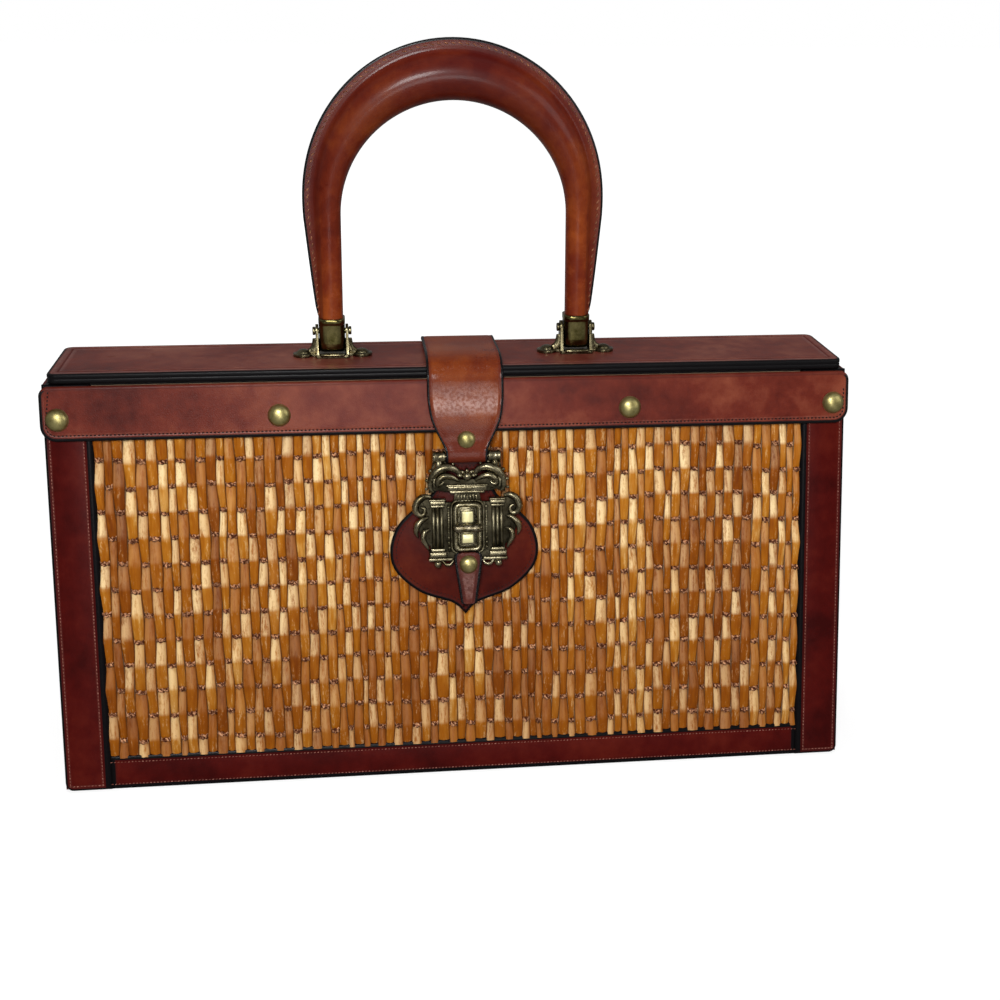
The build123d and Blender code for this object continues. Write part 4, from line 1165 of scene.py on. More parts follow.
handleSizes = {
    "offset": 1.2, "spread": 52.5, "inner": 47.3, "centre": 59.4, "legRadius": 5.1, "endRadius": 4.9,
    "gain": 4.7, "foot": 12.9, "seamFoot": 17.2, "seamHigh": 5.4, "seamLow": 1.0, "seamHalf": 1.4,
    "paint": 1.0, "stitchIn": 2.3, "stitchPitch": 2.9, "darkest": 0.55,
}


# middle (x, z), tube radius, heading, seam height at each step from the left foot to the right
def handleStations():
    sizes = handleSizes
    leg = []
    for step in range(17):
        share = step / 16
        z = sizes["foot"] + (sizes["centre"] - sizes["foot"]) * share
        radius = sizes["endRadius"] + (sizes["legRadius"] - sizes["endRadius"]) * share
        x = sizes["spread"] + (sizes["inner"] + sizes["legRadius"] - sizes["spread"]) * share
        rise = max(0.0, (z - sizes["seamFoot"]) / (sizes["centre"] - sizes["seamFoot"]))
        seam = sizes["seamLow"] + (sizes["seamHigh"] - sizes["seamLow"]) * rise ** 0.85
        seam *= min(1.0, max(0.15, (z - sizes["seamFoot"] + 1.0) / 3.0))
        leg.append((x, z, radius, seam))
    stations = [(-x, z, radius, 90.0, seam) for x, z, radius, seam in leg]
    for step in range(1, 72):
        angle = 180.0 - 2.5 * step
        turn = math.radians(angle)
        radius = sizes["legRadius"] + sizes["gain"] * math.sin(turn) ** 1.3
        reach = sizes["inner"] + radius
        stations.append((reach * math.cos(turn), sizes["centre"] + reach * math.sin(turn), radius,
                         angle - 90.0,
                         sizes["seamHigh"]))
    stations.extend((x, z, radius, -90.0, seam) for x, z, radius, seam in reversed(leg))
    return stations


# one side of the section, from the inside of the arch to the edge of the seam: out, depth, paint, dark
def handleSection(radius, seam):
    half = handleSizes["seamHalf"]
    points = []
    leave = math.radians(50.0)
    for step in range(12):
        angle = math.pi + (leave - math.pi) * step / 11
        points.append((radius * math.cos(angle), radius * math.sin(angle), 0.0, 0.0))
    startOut, startDeep = radius * math.cos(leave), radius * math.sin(leave)
    edge = radius + seam
    landing = radius + seam * 0.18
    bend = (landing - startOut) * 0.55
    controls = [(startOut, startDeep),
                (startOut + math.sin(leave) * bend, startDeep - math.cos(leave) * bend),
                (landing - bend * 0.5, half), (landing, half)]
    for step in range(1, 7):
        t = step / 6
        shares = ((1 - t) ** 3, 3 * t * (1 - t) ** 2, 3 * t * t * (1 - t), t ** 3)
        out = sum(share * control[0] for share, control in zip(shares, controls))
        deep = sum(share * control[1] for share, control in zip(shares, controls))
        points.append((out, deep, 0.0, 0.25 + 0.45 * t))
    paint = min(handleSizes["paint"], seam * 0.6)
    points.append((landing + (edge - paint - landing) * 0.5, half - 0.12, 0.0, 0.55))
    points.append((edge - paint - 0.15, half, 0.0, 0.6))
    points.append((edge - paint + 0.1, half + 0.02, 1.0, 0.6))
    points.append((edge - 0.35, half - 0.05, 1.0, 0.6))
    points.append((edge - 0.08, half - 0.4, 1.0, 0.6))
    points.append((edge, 0.0, 1.0, 0.6))
    return points


def handle():
    sizes = handleSizes
    points, paint, burnish, rings = [], [], [], 0
    lines = {-1: [], 1: []}
    for x, z, radius, heading, seam in handleStations():
        turn = math.radians(heading + 90.0)
        out = Vector((math.cos(turn), 0, math.sin(turn)))
        centre = Vector((x + sizes["offset"], 0, lidTop + z))
        side = handleSection(radius, seam)
        loop = [(o, -deep, black, dark) for o, deep, black, dark in side]
        loop += [(o, deep, black, dark) for o, deep, black, dark in reversed(side[1:-1])]
        deepness = min(sizes["darkest"], 0.5 * max(0.0, (z - sizes["centre"] + 8.0) / 50.0))
        for o, deep, black, dark in loop:
            points.append((centre + out * o + Vector((0, deep, 0))) * mm)
            paint.append(black)
            burnish.append(max(dark, deepness))
        rings += 1
        if z > sizes["seamFoot"] + 1.5:
            for way in (-1, 1):
                stitchOut = radius + max(seam - sizes["stitchIn"], seam * 0.35)
                spot = centre + out * stitchOut + Vector((0, way * sizes["seamHalf"], 0))
                lines[way].append(spot * mm)
    faces = skin(rings, len(points) // rings)
    made = triangulated(makeMesh("handleLeather", points, faces, {"paint": paint, "burnish": burnish}))
    finish(made, "handle", "cognac_leather", leather["cognac"], "handle_leather")
    for way, word in ((-1, "Front"), (1, "Back")):
        stitches(f"handle{word}Stitches", [lines[way]], (0, way, 0), tanThread, "handle", "cognac_leather",
                 {"pitch": sizes["stitchPitch"], "length": 2.2, "width": 0.62, "height": 0.5,
                  "slant": 24.0 * way})
    print("handle made")


# brackets and ferrules

ferruleSizes = {"side": 5.5, "deep": 5.5, "corner": 3.6, "top": 16.8, "nose": 9.2, "pin": 10.8, "collar": 2.4}


def ferrules():
    sizes = ferruleSizes
    for side, word in ((-1, "left"), (1, "right")):
        middle = handleSizes["offset"] + side * handleSizes["spread"]
        shape = Shape()
        rings = []
        collar = sizes["top"] - sizes["collar"]
        levels = [(1.75, -1.4), (2.0, -0.6), (2.9, -0.15), (4.2, 0.0), (6.5, 0.0),
                  (9.0, 0.0), (collar - 0.5, 0.0),
                  (collar - 0.1, 0.05), (collar + 0.35, 0.42), (sizes["top"] - 0.6, 0.5),
                  (sizes["top"] - 0.2, 0.35),
                  (sizes["top"], -0.05), (sizes["top"] - 0.1, -0.5)]
        for z, grow in levels:
            fall = sizes["pin"] - z
            nose = math.sqrt(max(1.0, sizes["nose"] ** 2 - fall * fall)) if fall > 0 else 99.0
            deep = min(sizes["deep"], nose)
            wide = sizes["side"] + min(grow, 0.12 if z > 6 else grow)
            deep += grow
            radius = max(0.6, min(sizes["corner"], deep - 0.3))
            outline = roundedBox(middle - wide, middle + wide, -deep, deep, (radius,) * 4, 0.0, 6)
            rings.append([(x, y, lidTop + z) for x, y in outline])
        shape.rings(rings)
        made = shape.piece(f"{word}Ferrule", flatPlace)
        finish(made, "handle", "antique_brass", ferruleBrass, f"{word}_ferrule")


bracketSizes = {"lugSpread": 12.4, "lugRadius": 4.4, "rivetRadius": 3.1, "rivetRise": 1.8, "base": 1.2,
                "bar": (4.7, 5.76, 1.35), "earIn": 5.75}


def brackets():
    sizes = bracketSizes
    rivets = Shape()
    for side, word in ((-1, "left"), (1, "right")):
        middle = handleSizes["offset"] + side * handleSizes["spread"]
        softened(f"{word}Pin", f"{word}_handle_pin", "handle", "antique_brass", fittingBrass, 0.45, 3)
        softened(f"{word}Bracket", f"{word}_handle_bracket", "lid", "antique_brass", fittingBrass, 0.4, 3)
        extra = Shape()
        for way in (-1, 1):
            lug = (middle + way * sizes["lugSpread"], 0.0, lidTop)
            extra.turned(lug, [(3.7, 0.05), (sizes["lugRadius"] - 0.1, 0.15), (sizes["lugRadius"], 0.75),
                               (sizes["lugRadius"] - 0.25, 1.25), (sizes["lugRadius"] - 0.8, 1.45),
                               (3.1, 1.2)], 28)
            rivets.turned((lug[0], lug[1], lidTop + sizes["base"] - 0.2), domeProfile(sizes["rivetRadius"],
                          sizes["rivetRise"] + 0.2, 0.3))
            x = middle + way * (sizes["earIn"] + 0.6)
            flank = smoothPath([(x + way * 3.4, 0, lidTop + 1.0, 0.75),
                                (x + way * 1.5, 0, lidTop + 1.9, 0.85),
                                (x + way * 0.55, 0, lidTop + 4.0, 0.75),
                                (x + way * 0.3, 0, lidTop + 7.5, 0.6)], 5)
            extra.tube(flank, 8, 2.8)
        for way in (-1, 1):
            half, out, rise = sizes["bar"]
            thick = [(-half - 0.5, 0.45), (-half, 0.8), (-2.0, 0.8), (2.0, 0.8), (half, 0.8),
                     (half + 0.5, 0.45)]
            extra.tube([(middle + x, way * out, lidTop + rise, radius) for x, radius in thick], 10)
        made = extra.piece(f"{word}BracketTrim", flatPlace)
        finish(made, "lid", "antique_brass", fittingBrass)
    finish(rivets.piece("bracketRivets", flatPlace), "lid", "antique_brass", fittingBrass, "bracket_rivets")
    print("brackets made")


# lid

lidSizes = {"front": 0.3, "corner": 3.5, "low": 171.6, "backLow": 172.6, "crease": 4.2}


def lid():
    low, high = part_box("lid_leather")
    left, right, near, far = low.x / mm, high.x / mm, low.y / mm, high.y / mm
    sizes = lidSizes
    top = lidTop

    def outline(inset):
        return roundedBox(left, right, near, far, (sizes["corner"],) * 4, inset - sizes["front"], 6)

    def place(x, y, z):
        return Vector((x, y, max(z, sizes["backLow"]) if y > far - 6 else z)) * mm

    crease = sizes["crease"]
    # the pale rings beside the black edge and beside the crease are partly rubbed wear and partly a painted
    # highlight on the rolled bevel
    rings = [
        (outline(1.2), sizes["low"], 1.0, 0.0),
        (outline(0.35), sizes["low"], 1.0, 0.0),
        (outline(0.05), sizes["low"] + 0.2, 1.0, 0.0),
        (outline(0.0), top - 2.5, 1.0, 0.0),
        (outline(0.12), top - 2.25, 1.0, 0.0),
        (outline(0.22), top - 2.1, 0.62, 0.0),
        (outline(0.12), top - 1.95, 1.0, 0.0),
        (outline(0.0), top - 1.7, 1.0, 0.0),
        (outline(0.02), top - 0.6, 1.0, 0.0),
        (outline(0.25), top - 0.22, 1.0, 0.0),
        (outline(0.65), top - 0.05, 1.0, 0.0),
        (outline(1.1), top, 1.0, 0.0),
        (outline(1.3), top, 0.0, 0.5),
        (outline(1.7), top, 0.0, -0.25),
        (outline(crease - 0.6), top, 0.0, -0.1),
        (outline(crease - 0.15), top - 0.2, 0.0, 0.6),
        (outline(crease + 0.2), top - 0.22, 0.0, 0.6),
        (outline(crease + 0.7), top, 0.0, -0.2),
        (outline(crease + 2.5), top, 0.0, 0.0),
    ]
    finish(leatherSheet("lidLeather", rings, place), "lid", "mahogany_leather", leather["lid"], "lid_leather")
    print("lid made")


# strap

# The strap's painted highlight is centred at the rubbed height given below and fades out over the reach given
# after it
strapSizes = {
    "middle": 3.5, "half": 16.0, "loopHalf": 8.7, "thick": 1.5, "bar": 140.48, "barStand": 4.6, "loop": 1.93,
    "paint": 0.9, "rubbed": 162.5, "rubReach": 6.5, "darkFrom": 157.0,
    "over": [(23.0, 0.2, 0.6), (21.6, 0.95, 0.6), (18.5, 1.35, 0.6), (10.0, 1.6, 0.5), (1.0, 1.9, 0.3),
             (-7.0, 2.3, 0.1), (-13.5, 2.45, 0.0), (-18.8, 1.95, 0.0), (-22.9, 0.6, 0.0), (-25.8, -2.1, 0.0),
             (-27.4, -5.8, 0.0)],
    "front": [(166.0, 4.35), (161.5, 5.0), (157.0, 5.4), (152.5, 5.45), (148.0, 5.35), (145.0, 5.75),
              (143.2, 6.3)],
    "taper": [(165.0, 16.0), (158.0, 15.2), (152.0, 13.0), (147.0, 10.6), (143.4, 8.9), (141.5, 8.7)],
}


def strapWidth(v):
    taper = strapSizes["taper"]
    if v >= taper[0][0]:
        return taper[0][1]
    for (highV, highW), (lowV, lowW) in zip(taper, taper[1:]):
        if v >= lowV:
            share = (v - lowV) / (highV - lowV)
            return lowW + (highW - lowW) * share
    return taper[-1][1]


# the strap gets a pale, speckled painted highlight just below the rim and is darker towards its end
def strapToneAndSheen(v):
    if v > strapSizes["darkFrom"]:
        return -0.75 * max(0.0, 1.0 - abs(v - strapSizes["rubbed"]) / strapSizes["rubReach"])
    return min(1.0, (strapSizes["darkFrom"] - v) / 5.0)


# middle line of the strap as (y, z, half width, tone and sheen), from the lid's back edge to the end of the
# loop.
# The last value is below zero where a pale painted highlight goes and above zero where the leather is darker
def strapPath():
    sizes = strapSizes
    half = sizes["thick"] / 2
    front = []
    for v, d in sizes["front"]:
        point = onFront(0, v, d) / mm
        front.append((point.y, point.z, strapWidth(v), strapToneAndSheen(v)))
    over = [(y, lidTop + half + rise, sizes["half"], toneAndSheen) for y, rise, toneAndSheen in sizes["over"]]
    path = smoothPath(over + front, 6)
    for step in range(1, 13):
        angle = math.radians(12.0 - 15.5 * step)
        point = onFront(0, sizes["bar"] + sizes["loop"] * math.sin(angle),
                        sizes["barStand"] + sizes["loop"] * math.cos(angle)) / mm
        path.append((point.y, point.z, sizes["loopHalf"], 1.0))
    for v in (sizes["bar"] + 3.0, sizes["bar"] + 8.0):
        point = onFront(0, v, sizes["barStand"] - sizes["loop"]) / mm
        path.append((point.y, point.z, sizes["loopHalf"] - 0.3, 1.0))
    return path


# a strap along (y, z, half width, tone and sheen), with rounded painted edges
def strapMesh(name, path, middle, thick, paint):
    half = thick / 2
    section = [(0.0, 0.0, 1.0), (0.02, half - 0.3, 1.0), (0.18, half - 0.1, 1.0), (0.45, half, 1.0),
               (paint, half, 1.0), (paint + 0.2, half - 0.03, 0.0), (paint + 0.7, half - 0.12, 0.0),
               (paint + 1.5, half, 0.0)]
    points, black, dark = [], [], []
    for index, (y, z, width, toneAndSheen) in enumerate(path):
        before, after = path[max(index - 1, 0)], path[min(index + 1, len(path) - 1)]
        along = Vector((0, after[0] - before[0], after[1] - before[1])).normalized()
        out = along.cross(Vector((1, 0, 0)))
        ring = []
        across = [-1 + 2 * i / 8 for i in range(1, 8)]
        for inset, height, isBlack in section:
            ring.append((-width + inset, height, isBlack, 0.6 if not isBlack and inset < paint + 1 else 0.0))
        inner = width - section[-1][0]
        ring += [(inner * share, half, 0.0, 0.0) for share in across]
        for inset, height, isBlack in reversed(section[1:]):
            ring.append((width - inset, height, isBlack, 0.6 if not isBlack and inset < paint + 1 else 0.0))
        ring.append((width, 0.0, 1.0, 0.0))
        ring += [(width - 0.1, -half + 0.1, 1.0, 0.0), (width - 0.6, -half, 1.0, 0.0),
                 (-width + 0.6, -half, 1.0, 0.0), (-width + 0.1, -half + 0.1, 1.0, 0.0)]
        for x, height, isBlack, burn in ring:
            spot = Vector((x + middle, y, z)) + out * height
            points.append(spot * mm)
            black.append(isBlack)
            dark.append(burn if burn > 0.0 else toneAndSheen * 0.6)
    faces = skin(len(path), len(points) // len(path))
    return triangulated(makeMesh(name, points, faces, {"paint": black, "burnish": dark}))


def strap():
    sizes = strapSizes
    made = strapMesh("strapLeather", strapPath(), sizes["middle"], sizes["thick"], sizes["paint"])
    finish(made, "lid", "cognac_leather", leather["strap"], "strap")
    print("strap made")


# patch, pull tab, studs and knob

windowHeight = 110.18
patchSizes = {
    "middle": 2.3, "low": 0.0, "high": 1.6, "edge": 0.7, "paint": 1.2, "stitchIn": 2.6,
    "belly": [(0, -38.8), (5.5, -33.6), (19.0, -28.6), (29.0, -19.7),
              (31.7, -10.7), (29.0, -0.7), (22.3, 6.8),
              (15.0, 12.3), (11.5, 18.8), (11.0, 26.8), (11.0, 30.8)],
}
# Along the pull tab, the rubbed range gives where a pale, speckled painted highlight goes
tabSizes = {
    "thick": 1.6, "paint": 1.0, "rubbed": (-31.0, -19.0),
    "along": [(-10.9, 5.55, 4.2), (-11.2, 5.55, 5.1), (-12.0, 5.6, 5.75), (-14.0, 5.6, 5.95),
              (-18.0, 5.65, 5.5),
              (-22.0, 5.75, 4.9), (-26.0, 5.8, 4.3), (-29.5, 5.6, 3.85), (-31.8, 5.45, 3.6),
              (-32.8, 5.4, 3.3),
              (-33.2, 5.4, 2.6)],
}


def patch():
    sizes = patchSizes
    right = smoothPath(sizes["belly"], 6)
    outlinePoints = right + [(-u, v) for u, v in reversed(right[1:])]
    base = [(u + sizes["middle"], v + windowHeight) for u, v in outlinePoints]

    def outline(inset):
        return drawnIn(base, inset)

    rings = edgeRings(outline, sizes["low"], sizes["high"], sizes["edge"], sizes["paint"])
    finish(leatherSheet("claspPatch", rings, onFront), "box", "oxblood_leather", leather["patch"],
           "clasp_patch")
    seam = drawnIn(base, sizes["stitchIn"])
    line = [onFront(u, v, sizes["high"]) for u, v in seam if v < windowHeight + 26]
    stitches("patchStitches", [line], frontWay, darkThread, "box", "oxblood_leather",
             {"pitch": 1.6, "length": 1.1})


def pullTab():
    low, high = tabSizes["rubbed"]
    path = []
    for v, d, wide in tabSizes["along"]:
        point = onFront(0, windowHeight + v, d) / mm
        # painted highlight on the lower half of the tab
        path.append((point.y, point.z, wide, -0.6 if low < v < high else 0.0))
    made = strapMesh("pullTab", smoothPath(path, 3), claspMiddle, tabSizes["thick"], tabSizes["paint"])
    finish(made, "hasp", "mahogany_leather", leather["tab"], "pull_tab")


studSizes = {
    "tacks": (-163.0, -73.7, 73.7, 163.0), "tackRise": 9.0, "tackRadius": 4.75, "tackDome": 2.8,
    "radius": 3.9, "dome": 2.3, "strapStud": (37.4, 5.85), "tabStud": (-15.9, 6.4),
}
knobSizes = {
    "half": 6.4, "thick": 1.75, "corner": 1.7, "stem": [(1.55, 0.0), (1.55, 6.0)], "stemStand": 0.5,
    "profile": ((6.35, 1.3), (6.8, 0.6), (7.5, 0.15), (8.2, 0.0), (8.7, 0.25), (9.05, 0.7), (9.25, 1.15)),
}
# blocks of the clasp round the middle of its window: half width, bottom, top, low, high, edge
plateBlocks = [(5.6, -10.0, 10.0, 1.7, 2.9, 0.4), (3.2, -7.8, 7.6, 2.6, 4.0, 0.3)]
bossBlocks = [(2.35, 1.9, 6.7, 3.7, 5.3, 0.35), (2.35, -6.9, -3.0, 3.7, 5.3, 0.35)]


def claspBlocks(name, blocks, finishSlot, material, *replaced):
    shape = Shape()
    for half, bottom, top, low, high, edge in blocks:
        shape.block(claspMiddle - half, claspMiddle + half,
                    windowHeight + bottom, windowHeight + top, low, high, edge)
    finish(shape.piece(name, onFront), "box", finishSlot, material, *replaced)


def turnKnob():
    sizes = knobSizes
    half, thick = sizes["half"], sizes["thick"]
    rings = []
    for height, inset in sizes["profile"]:
        outline = roundedBox(claspMiddle - half, claspMiddle + half,
                             windowHeight - thick, windowHeight + thick,
                             (sizes["corner"],) * 4, inset, 6)
        rings.append([(u, v, height) for u, v in outline])
    knob = Shape()
    knob.rings(rings)
    knob.turned((claspMiddle, windowHeight, sizes["stemStand"]), sizes["stem"], 16)
    finish(knob.piece("turnKnob", onFront), "knob", "antique_brass", knobBrass, "turn_knob")


def smallBrass():
    sizes = studSizes
    tacks = [(x, bandBottom + sizes["tackRise"]) for x in sizes["tacks"]]
    studs("bandTacks", tacks, bandLift, sizes["tackRadius"], sizes["tackDome"],
          "box", "bright_brass", tackBrass, "band_tacks")
    for name, body, node in (("strapStud", "lid", "strap_stud"), ("tabStud", "hasp", "pull_tab_stud")):
        rise, stand = sizes[name]
        studs(name, [(claspMiddle, windowHeight + rise)], stand, sizes["radius"], sizes["dome"], body,
              "antique_brass", tackBrass, node)
    turnKnob()
    claspBlocks("claspPlate", plateBlocks, "antique_brass", oldBrass, "clasp_base_plate")
    # the boss squares carry a painted reflection in their pale base colour
    claspBlocks("claspBoss", bossBlocks, "bright_brass", bossBrass)
    print("small brass made")


# hasp

haspSizes = {
    "low": 3.05, "plate": 4.3, "frame": 6.0, "window": (4.0, 8.5), "frameWidth": 2.3, "softEdge": 0.3,
    "pilaster": 12.7, "flutes": (-1.7, 0.0, 1.7), "beadLine": 8.0, "barHeight": 30.3, "barStand": 4.6,
}
# right halves of the flat plates, from the middle line outwards
haspPlates = {
    "crown": [(0.0, 15.2), (9.0, 15.2), (12.4, 15.9), (16.2, 14.8), (16.0, 18.5), (15.3, 23.0), (14.3, 27.6),
              (9.4, 27.6), (8.8, 23.4), (3.4, 20.6), (0.0, 20.2)],
    "neck": [(0.0, 10.0), (6.2, 10.0), (5.0, 15.6), (0.0, 15.6)],
    "foot": [(0.0, -20.0), (4.4, -18.9), (5.0, -14.8), (9.0, -14.2), (16.3, -14.4), (16.6, -10.0),
             (0.0, -10.0)],
    "wing": [(5.8, -11.0), (15.9, -11.0), (16.0, -8.0), (19.0, -5.0), (20.9, -0.4), (18.3, 3.0), (21.2, 6.4),
             (20.2, 10.6), (16.6, 13.0), (15.6, 10.8), (9.4, 10.8), (5.8, 10.8)],
}
# blocks as half width, bottom, top, height, edge: cornice round the middle line, pilaster round its own
haspCornice = [(8.3, 15.6, 18.2, 6.2, 0.5), (7.4, 14.6, 15.8, 5.6, 0.3), (8.9, 17.6, 18.5, 6.45, 0.25)]
haspPilaster = [(3.3, 9.9, 11.8, 6.5, 0.4), (2.9, 8.8, 9.9, 6.1, 0.3), (3.6, 11.6, 12.5, 6.75, 0.3),
                (3.0, -10.2, -8.8, 6.2, 0.3), (3.7, -12.6, -10.2, 6.6, 0.45)]
# leaves and scrolls of the right half: points (u, v, height, radius), sides, flatness, depth of the flutes
haspScrolls = [
    ([(2.4, 22.4, 4.9, 0.6), (5.0, 25.0, 5.6, 1.15), (8.6, 26.0, 6.0, 1.5), (12.4, 24.6, 5.9, 1.6),
      (15.0, 21.2, 5.6, 1.35), (15.6, 17.4, 5.2, 0.9), (14.2, 15.2, 4.8, 0.4)], 12, 0.75, 0.14),
    ([(3.4, 19.9, 4.8, 0.5), (6.2, 21.6, 5.4, 1.0), (9.4, 22.2, 5.7, 1.25), (12.0, 20.6, 5.6, 1.15),
      (12.2, 18.4, 5.3, 0.8), (10.4, 18.9, 5.2, 0.55), (10.2, 19.9, 5.1, 0.3)], 12, 0.8, 0.12),
    ([(13.2, 22.0, 5.4, 0.5), (14.0, 19.6, 5.6, 0.6), (13.6, 17.2, 5.2, 0.45)], 7, 1.0, 0.0),
    ([(15.4, 13.2, 4.8, 0.7), (18.2, 13.6, 5.4, 1.2), (20.9, 11.9, 5.6, 1.35), (22.0, 8.8, 5.5, 1.3),
      (20.8, 6.0, 5.3, 1.1), (18.5, 6.1, 5.2, 0.9), (18.1, 8.3, 5.3, 0.75), (19.6, 9.2, 5.4, 0.6)],
     10, 0.85, 0.1),
    ([(16.4, 4.6, 4.7, 0.5), (18.8, 3.8, 5.2, 1.05), (21.2, 1.6, 5.5, 1.25), (21.9, -1.4, 5.2, 0.9),
      (21.0, -4.0, 4.6, 0.25)], 10, 0.8, 0.12),
    ([(16.2, -0.6, 4.7, 0.5), (18.2, -1.6, 5.2, 1.05), (19.0, -4.4, 5.3, 1.1), (17.6, -7.4, 5.0, 0.8),
      (16.6, -9.4, 4.6, 0.3)], 10, 0.8, 0.12),
    ([(10.9, -14.4, 4.7, 0.55), (9.4, -15.9, 5.0, 0.75), (7.4, -15.8, 5.0, 0.75), (6.2, -14.0, 4.7, 0.5)],
     8, 1.0, 0.0),
    ([(11.7, 28.6, 5.2, 1.4), (11.9, 27.2, 5.4, 1.7), (12.4, 25.6, 5.0, 1.2)], 9, 0.8, 0.0),
]
haspBeads = [(5.8, 27.2, 0.7), (9.2, 27.9, 0.8), (15.4, 24.4, 0.85), (17.0, 20.4, 0.8), (17.2, 16.8, 0.7)]
haspLug = [(8.95, 1.9), (9.1, 2.45), (9.7, 2.6), (10.3, 2.2), (12.9, 2.2), (13.5, 2.6), (14.2, 2.5),
           (14.4, 1.9)]


def mirrored(points):
    return points + [(-u, v) for u, v in reversed(points) if abs(u) > 1e-6]


def haspFrame(shape):
    sizes = haspSizes
    low, plate, high, across = sizes["low"], sizes["plate"], sizes["frame"], sizes["frameWidth"]
    wide, tall = sizes["window"]

    def ring(reach, radius, height):
        outline = roundedBox(-wide - reach, wide + reach, -tall - reach, tall + reach, (radius,) * 4, 0.0, 5)
        return [(u, v, height) for u, v in outline]

    shape.rings([ring(0.0, 1.2, low), ring(0.0, 1.2, high - 0.9), ring(0.35, 1.4, high - 0.35),
                 ring(0.8, 1.8, high), ring(across - 0.9, 2.2, high), ring(across - 0.3, 2.6, high - 0.4),
                 ring(across, 2.8, high - 1.1), ring(across, 2.8, low)], loop=True)
    shape.rings([ring(across + 0.1, 2.8, low), ring(across + 0.1, 2.8, plate + 0.5),
                 ring(across + 0.5, 2.9, plate + 0.75), ring(across + 0.95, 3.0, plate + 0.5),
                 ring(across + 1.0, 3.0, low)], loop=True)


# cornice with its ribs, and the rosette with its petals above it
def haspCrest(shape):
    for half, bottom, top, high, edge in haspCornice:
        shape.block(-half, half, bottom, top, haspSizes["low"], high, edge)
    for index in range(7):
        u = -4.2 + 1.4 * index
        shape.tube([(u * 0.98, 11.2, 4.6, 0.4), (u * 0.95, 12.2, 5.0, 0.5), (u * 0.85, 14.5, 5.2, 0.5)], 6)
    shape.ball((0.0, 21.9, 5.2), 2.0, 16, 0.95)
    for degrees in (-75, -38, 0, 38, 75):
        over, up = math.sin(math.radians(degrees)), math.cos(math.radians(degrees))
        shape.tube([(over * 1.6, 21.6 + up * 1.6, 4.7, 0.7), (over * 3.0, 21.6 + up * 2.6, 5.3, 1.0),
                    (over * 4.1, 21.6 + up * 3.3, 4.9, 0.7), (over * 4.7, 21.6 + up * 3.6, 4.4, 0.2)], 7)


# leaves, scrolls, pilaster, beaded line, foot and lug of one side
def haspSide(shape, side):
    sizes = haspSizes
    low = sizes["low"]
    wing = [(side * u, v) for u, v in haspPlates["wing"]]
    shape.slab(wing if side > 0 else wing[::-1], low, sizes["plate"], sizes["softEdge"])
    for points, sides, flat, flutes in haspScrolls:
        shape.tube(smoothPath([(side * u, v, d, r) for u, v, d, r in points], 6), sides, flat, flutes)
    for u, v, radius in haspBeads:
        shape.ball((side * u, v, 4.8), radius, 9)
    middle = side * sizes["pilaster"]
    for offset in sizes["flutes"]:
        height = 4.62 - 0.1 * abs(offset)
        shape.tube([(middle + offset, v, height, 0.8) for v in (-9.2, 0.0, 9.0)], 10)
    for half, bottom, top, high, edge in haspPilaster:
        shape.block(middle - half, middle + half, bottom, top, low, high, edge)
    shape.block(side * 11.6 - 5.2, side * 11.6 + 5.2, -14.4, -12.9, low, 5.8, 0.4)
    inner = side * sizes["beadLine"]
    shape.tube([(inner, -9.6, 4.5, 0.45), (inner, 0.0, 4.6, 0.5), (inner, 9.8, 4.5, 0.45)], 7)
    for index in range(9):
        shape.ball((inner, -8.8 + 2.2 * index, 4.85), 0.62, 8)
    shape.turned((side * 12.9, -15.4, 4.6), [(0.9, -1.2), (1.2, -0.4), (1.0, 0.3)], 12)
    shape.ball((side * 12.9, -15.6, 5.0), 1.75, 14)
    rings = []
    turns = [2 * math.pi * i / 18 for i in range(18)]
    for u, radius in (haspLug if side > 0 else haspLug[::-1]):
        rings.append([(side * u, sizes["barHeight"] + radius * math.cos(turn),
                       sizes["barStand"] + radius * math.sin(turn)) for turn in turns])
    shape.rings(rings)


def hasp():
    sizes = haspSizes
    shape = Shape()
    for name, raised in (("crown", 0.0), ("neck", 0.2), ("foot", 0.0)):
        shape.slab(mirrored(haspPlates[name]), sizes["low"], sizes["plate"] + raised, sizes["softEdge"])
    haspFrame(shape)
    haspCrest(shape)
    for side in (-1, 1):
        haspSide(shape, side)

    def place(u, v, d):
        return onFront(u + claspMiddle, v + windowHeight, d)

    finish(shape.piece("haspCasting", place), "hasp", "antique_brass", castBrass, "hasp")
    print("hasp made")


# camera, floor and light

view = {
    "place": (-0.04184, -0.63153, 0.33612), "right": (0.992355, -0.122805, 0.012229),
    "up": (0.027816, 0.319104, 0.947311), "lens": 54.0, "shiftX": -0.04, "shiftY": -0.03,
}
lights = {
    "world": 0.08, "worldInGloss": 0.25, "floor": ((0.24, 0.24, 0.24), (0.27, 0.27, 0.27)), "glowNear": 0.8,
    "floorHalf": 6.0, "floorDrop": 0.0005,
    "lamps": [
        {"name": "keyLamp", "at": (-0.22, -1.15, 0.78), "aim": (0.0, 0.0, 0.12), "size": 0.32, "watts": 11.5},
        {"name": "frontLamp", "at": (0.0, -1.12, 0.25), "aim": (0.0, 0.0, 0.15), "size": 0.3, "watts": 2.2},
        {"name": "topLamp", "at": (0.1, -0.2, 1.6), "aim": (0.0, 0.0, 0.1), "size": 1.1, "watts": 8.5,
         "glossy": False},
        {"name": "rearLamp", "at": (-0.5, 1.35, 0.8), "aim": (0.0, 0.0, 0.12), "size": 1.0, "watts": 13.0,
         "glossy": False},
        {"name": "fillLamp", "at": (1.2, -0.9, 0.8), "aim": (0.0, 0.0, 0.12), "size": 0.9, "watts": 5.5},
    ],
}


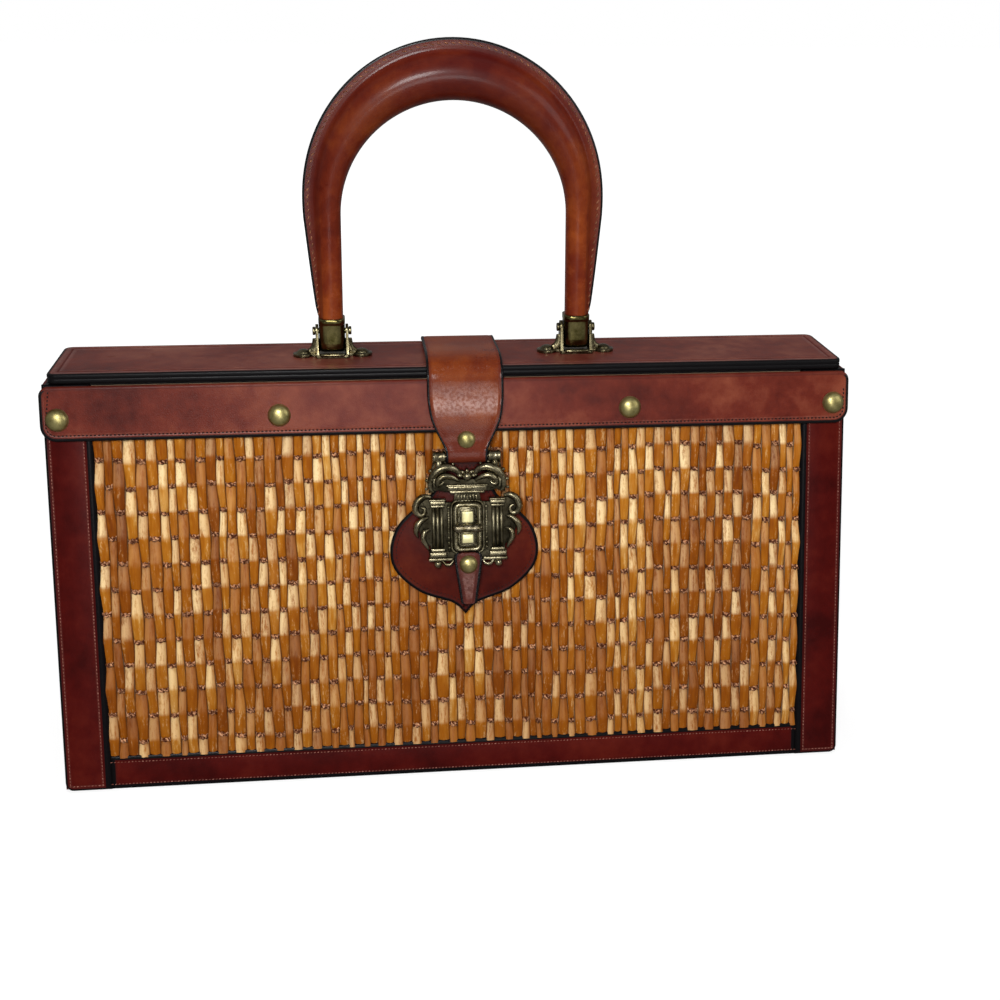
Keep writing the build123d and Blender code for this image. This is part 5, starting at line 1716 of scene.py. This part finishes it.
def camera():
    right, up = Vector(view["right"]), Vector(view["up"])
    back = right.cross(up)
    data = bpy.data.cameras.new("camera")
    data.lens = view["lens"]
    data.shift_x, data.shift_y = view["shiftX"], view["shiftY"]
    data.clip_start = 0.01
    made = linked("camera", data)
    made.matrix_world = Matrix.Translation(view["place"]) @ Matrix((right, up, back)).transposed().to_4x4()
    bpy.context.scene.camera = made


def lamps():
    for lamp in lights["lamps"]:
        data = bpy.data.lights.new(lamp["name"], "AREA")
        data.shape = "SQUARE"
        data.size = lamp["size"]
        data.energy = lamp["watts"]
        made = linked(lamp["name"], data)
        made.location = lamp["at"]
        aim = Vector(lamp["aim"]) - Vector(lamp["at"])
        made.rotation_euler = aim.to_track_quat("-Z", "Y").to_euler()
        made.visible_glossy = lamp.get("glossy", True)


def surroundings():
    world = bpy.data.worlds.new("studio")
    bpy.context.scene.world = world
    world.use_nodes = True
    world.node_tree.nodes.clear()
    tree = Tree(world.node_tree)
    path = tree.node("ShaderNodeLightPath")
    seen = tree.node("ShaderNodeMath", {"operation": "MAXIMUM"}, {
        0: path["Is Camera Ray"], 1: path["Is Transmission Ray"]})[0]
    strength = lights["world"] + seen * (1.0 - lights["world"])
    strength = strength + path["Is Glossy Ray"] * (1.0 - seen) * (lights["worldInGloss"] - lights["world"])
    sky = tree.node("ShaderNodeBackground", {},
                    {"Color": (1.0, 1.0, 1.0), "Strength": strength})["Background"]
    tree.node("ShaderNodeOutputWorld", {}, {"Surface": sky})
    half = lights["floorHalf"]
    corners = [(x * half, y * half, 0) for x, y in ((-1, -1), (1, -1), (1, 1), (-1, 1))]
    floor = makeMesh("floor", corners, [(0, 1, 2, 3)], smooth=False)
    material, tree, shader = newMaterial("paleFloor")
    place = tree.place()
    tree.feed(shader.inputs["Base Color"], tree.mix(tree.noise(place, 3.0), *lights["floor"]))
    shader.inputs["Roughness"].default_value = 0.9
    parts = tree.parts(place)
    distance = (parts["X"] * parts["X"] + parts["Y"] * parts["Y"]) ** 0.5
    glow = tree.range(distance, 0.35, 1.6, lights["glowNear"], 1.0, True)
    glow = glow * tree.node("ShaderNodeLightPath")["Is Camera Ray"]
    tree.feed(shader.inputs["Emission Color"], tree.vector(glow, glow, glow))
    shader.inputs["Emission Strength"].default_value = 1.0
    floor.data.materials.append(material)
    floor.location.z = -lights["floorDrop"]


# the CAD nodes that stay as they are

kept = {
    "board": ["bottom_board", "front_board", "back_board", "left_end_board", "right_end_board", "lid_board"],
    "oxblood": ["left_end_leather", "right_end_leather", "bottom_leather"],
    "cloth": ["lining", "lid_lining"],
    "padding": ["handle_core"],
    "oldBrass": [
        "clasp_back_plate", "knob_retainer", "hinge_leaf_box", "hinge_leaf_lid", "hinge_pin",
        "hinge_screws_box",
        "hinge_screws_lid", "hasp_bar",
    ],
}
keptFinish = dict(leather, board=board, cloth=cloth, padding=padding, oldBrass=oldBrass)


def finishKept():
    for key, names in kept.items():
        for name in names:
            data = nodes[name].data
            data.materials.clear()
            data.materials.append(keptFinish[key])
            data.polygons.foreach_set("material_index", [0] * len(data.polygons))


boxLeather()
reedMats()
handle()
ferrules()
brackets()
lid()
strap()
patch()
pullTab()
smallBrass()
hasp()
finishKept()
camera()
lamps()
surroundings()
bpy.context.scene.view_settings.view_transform = "Standard"
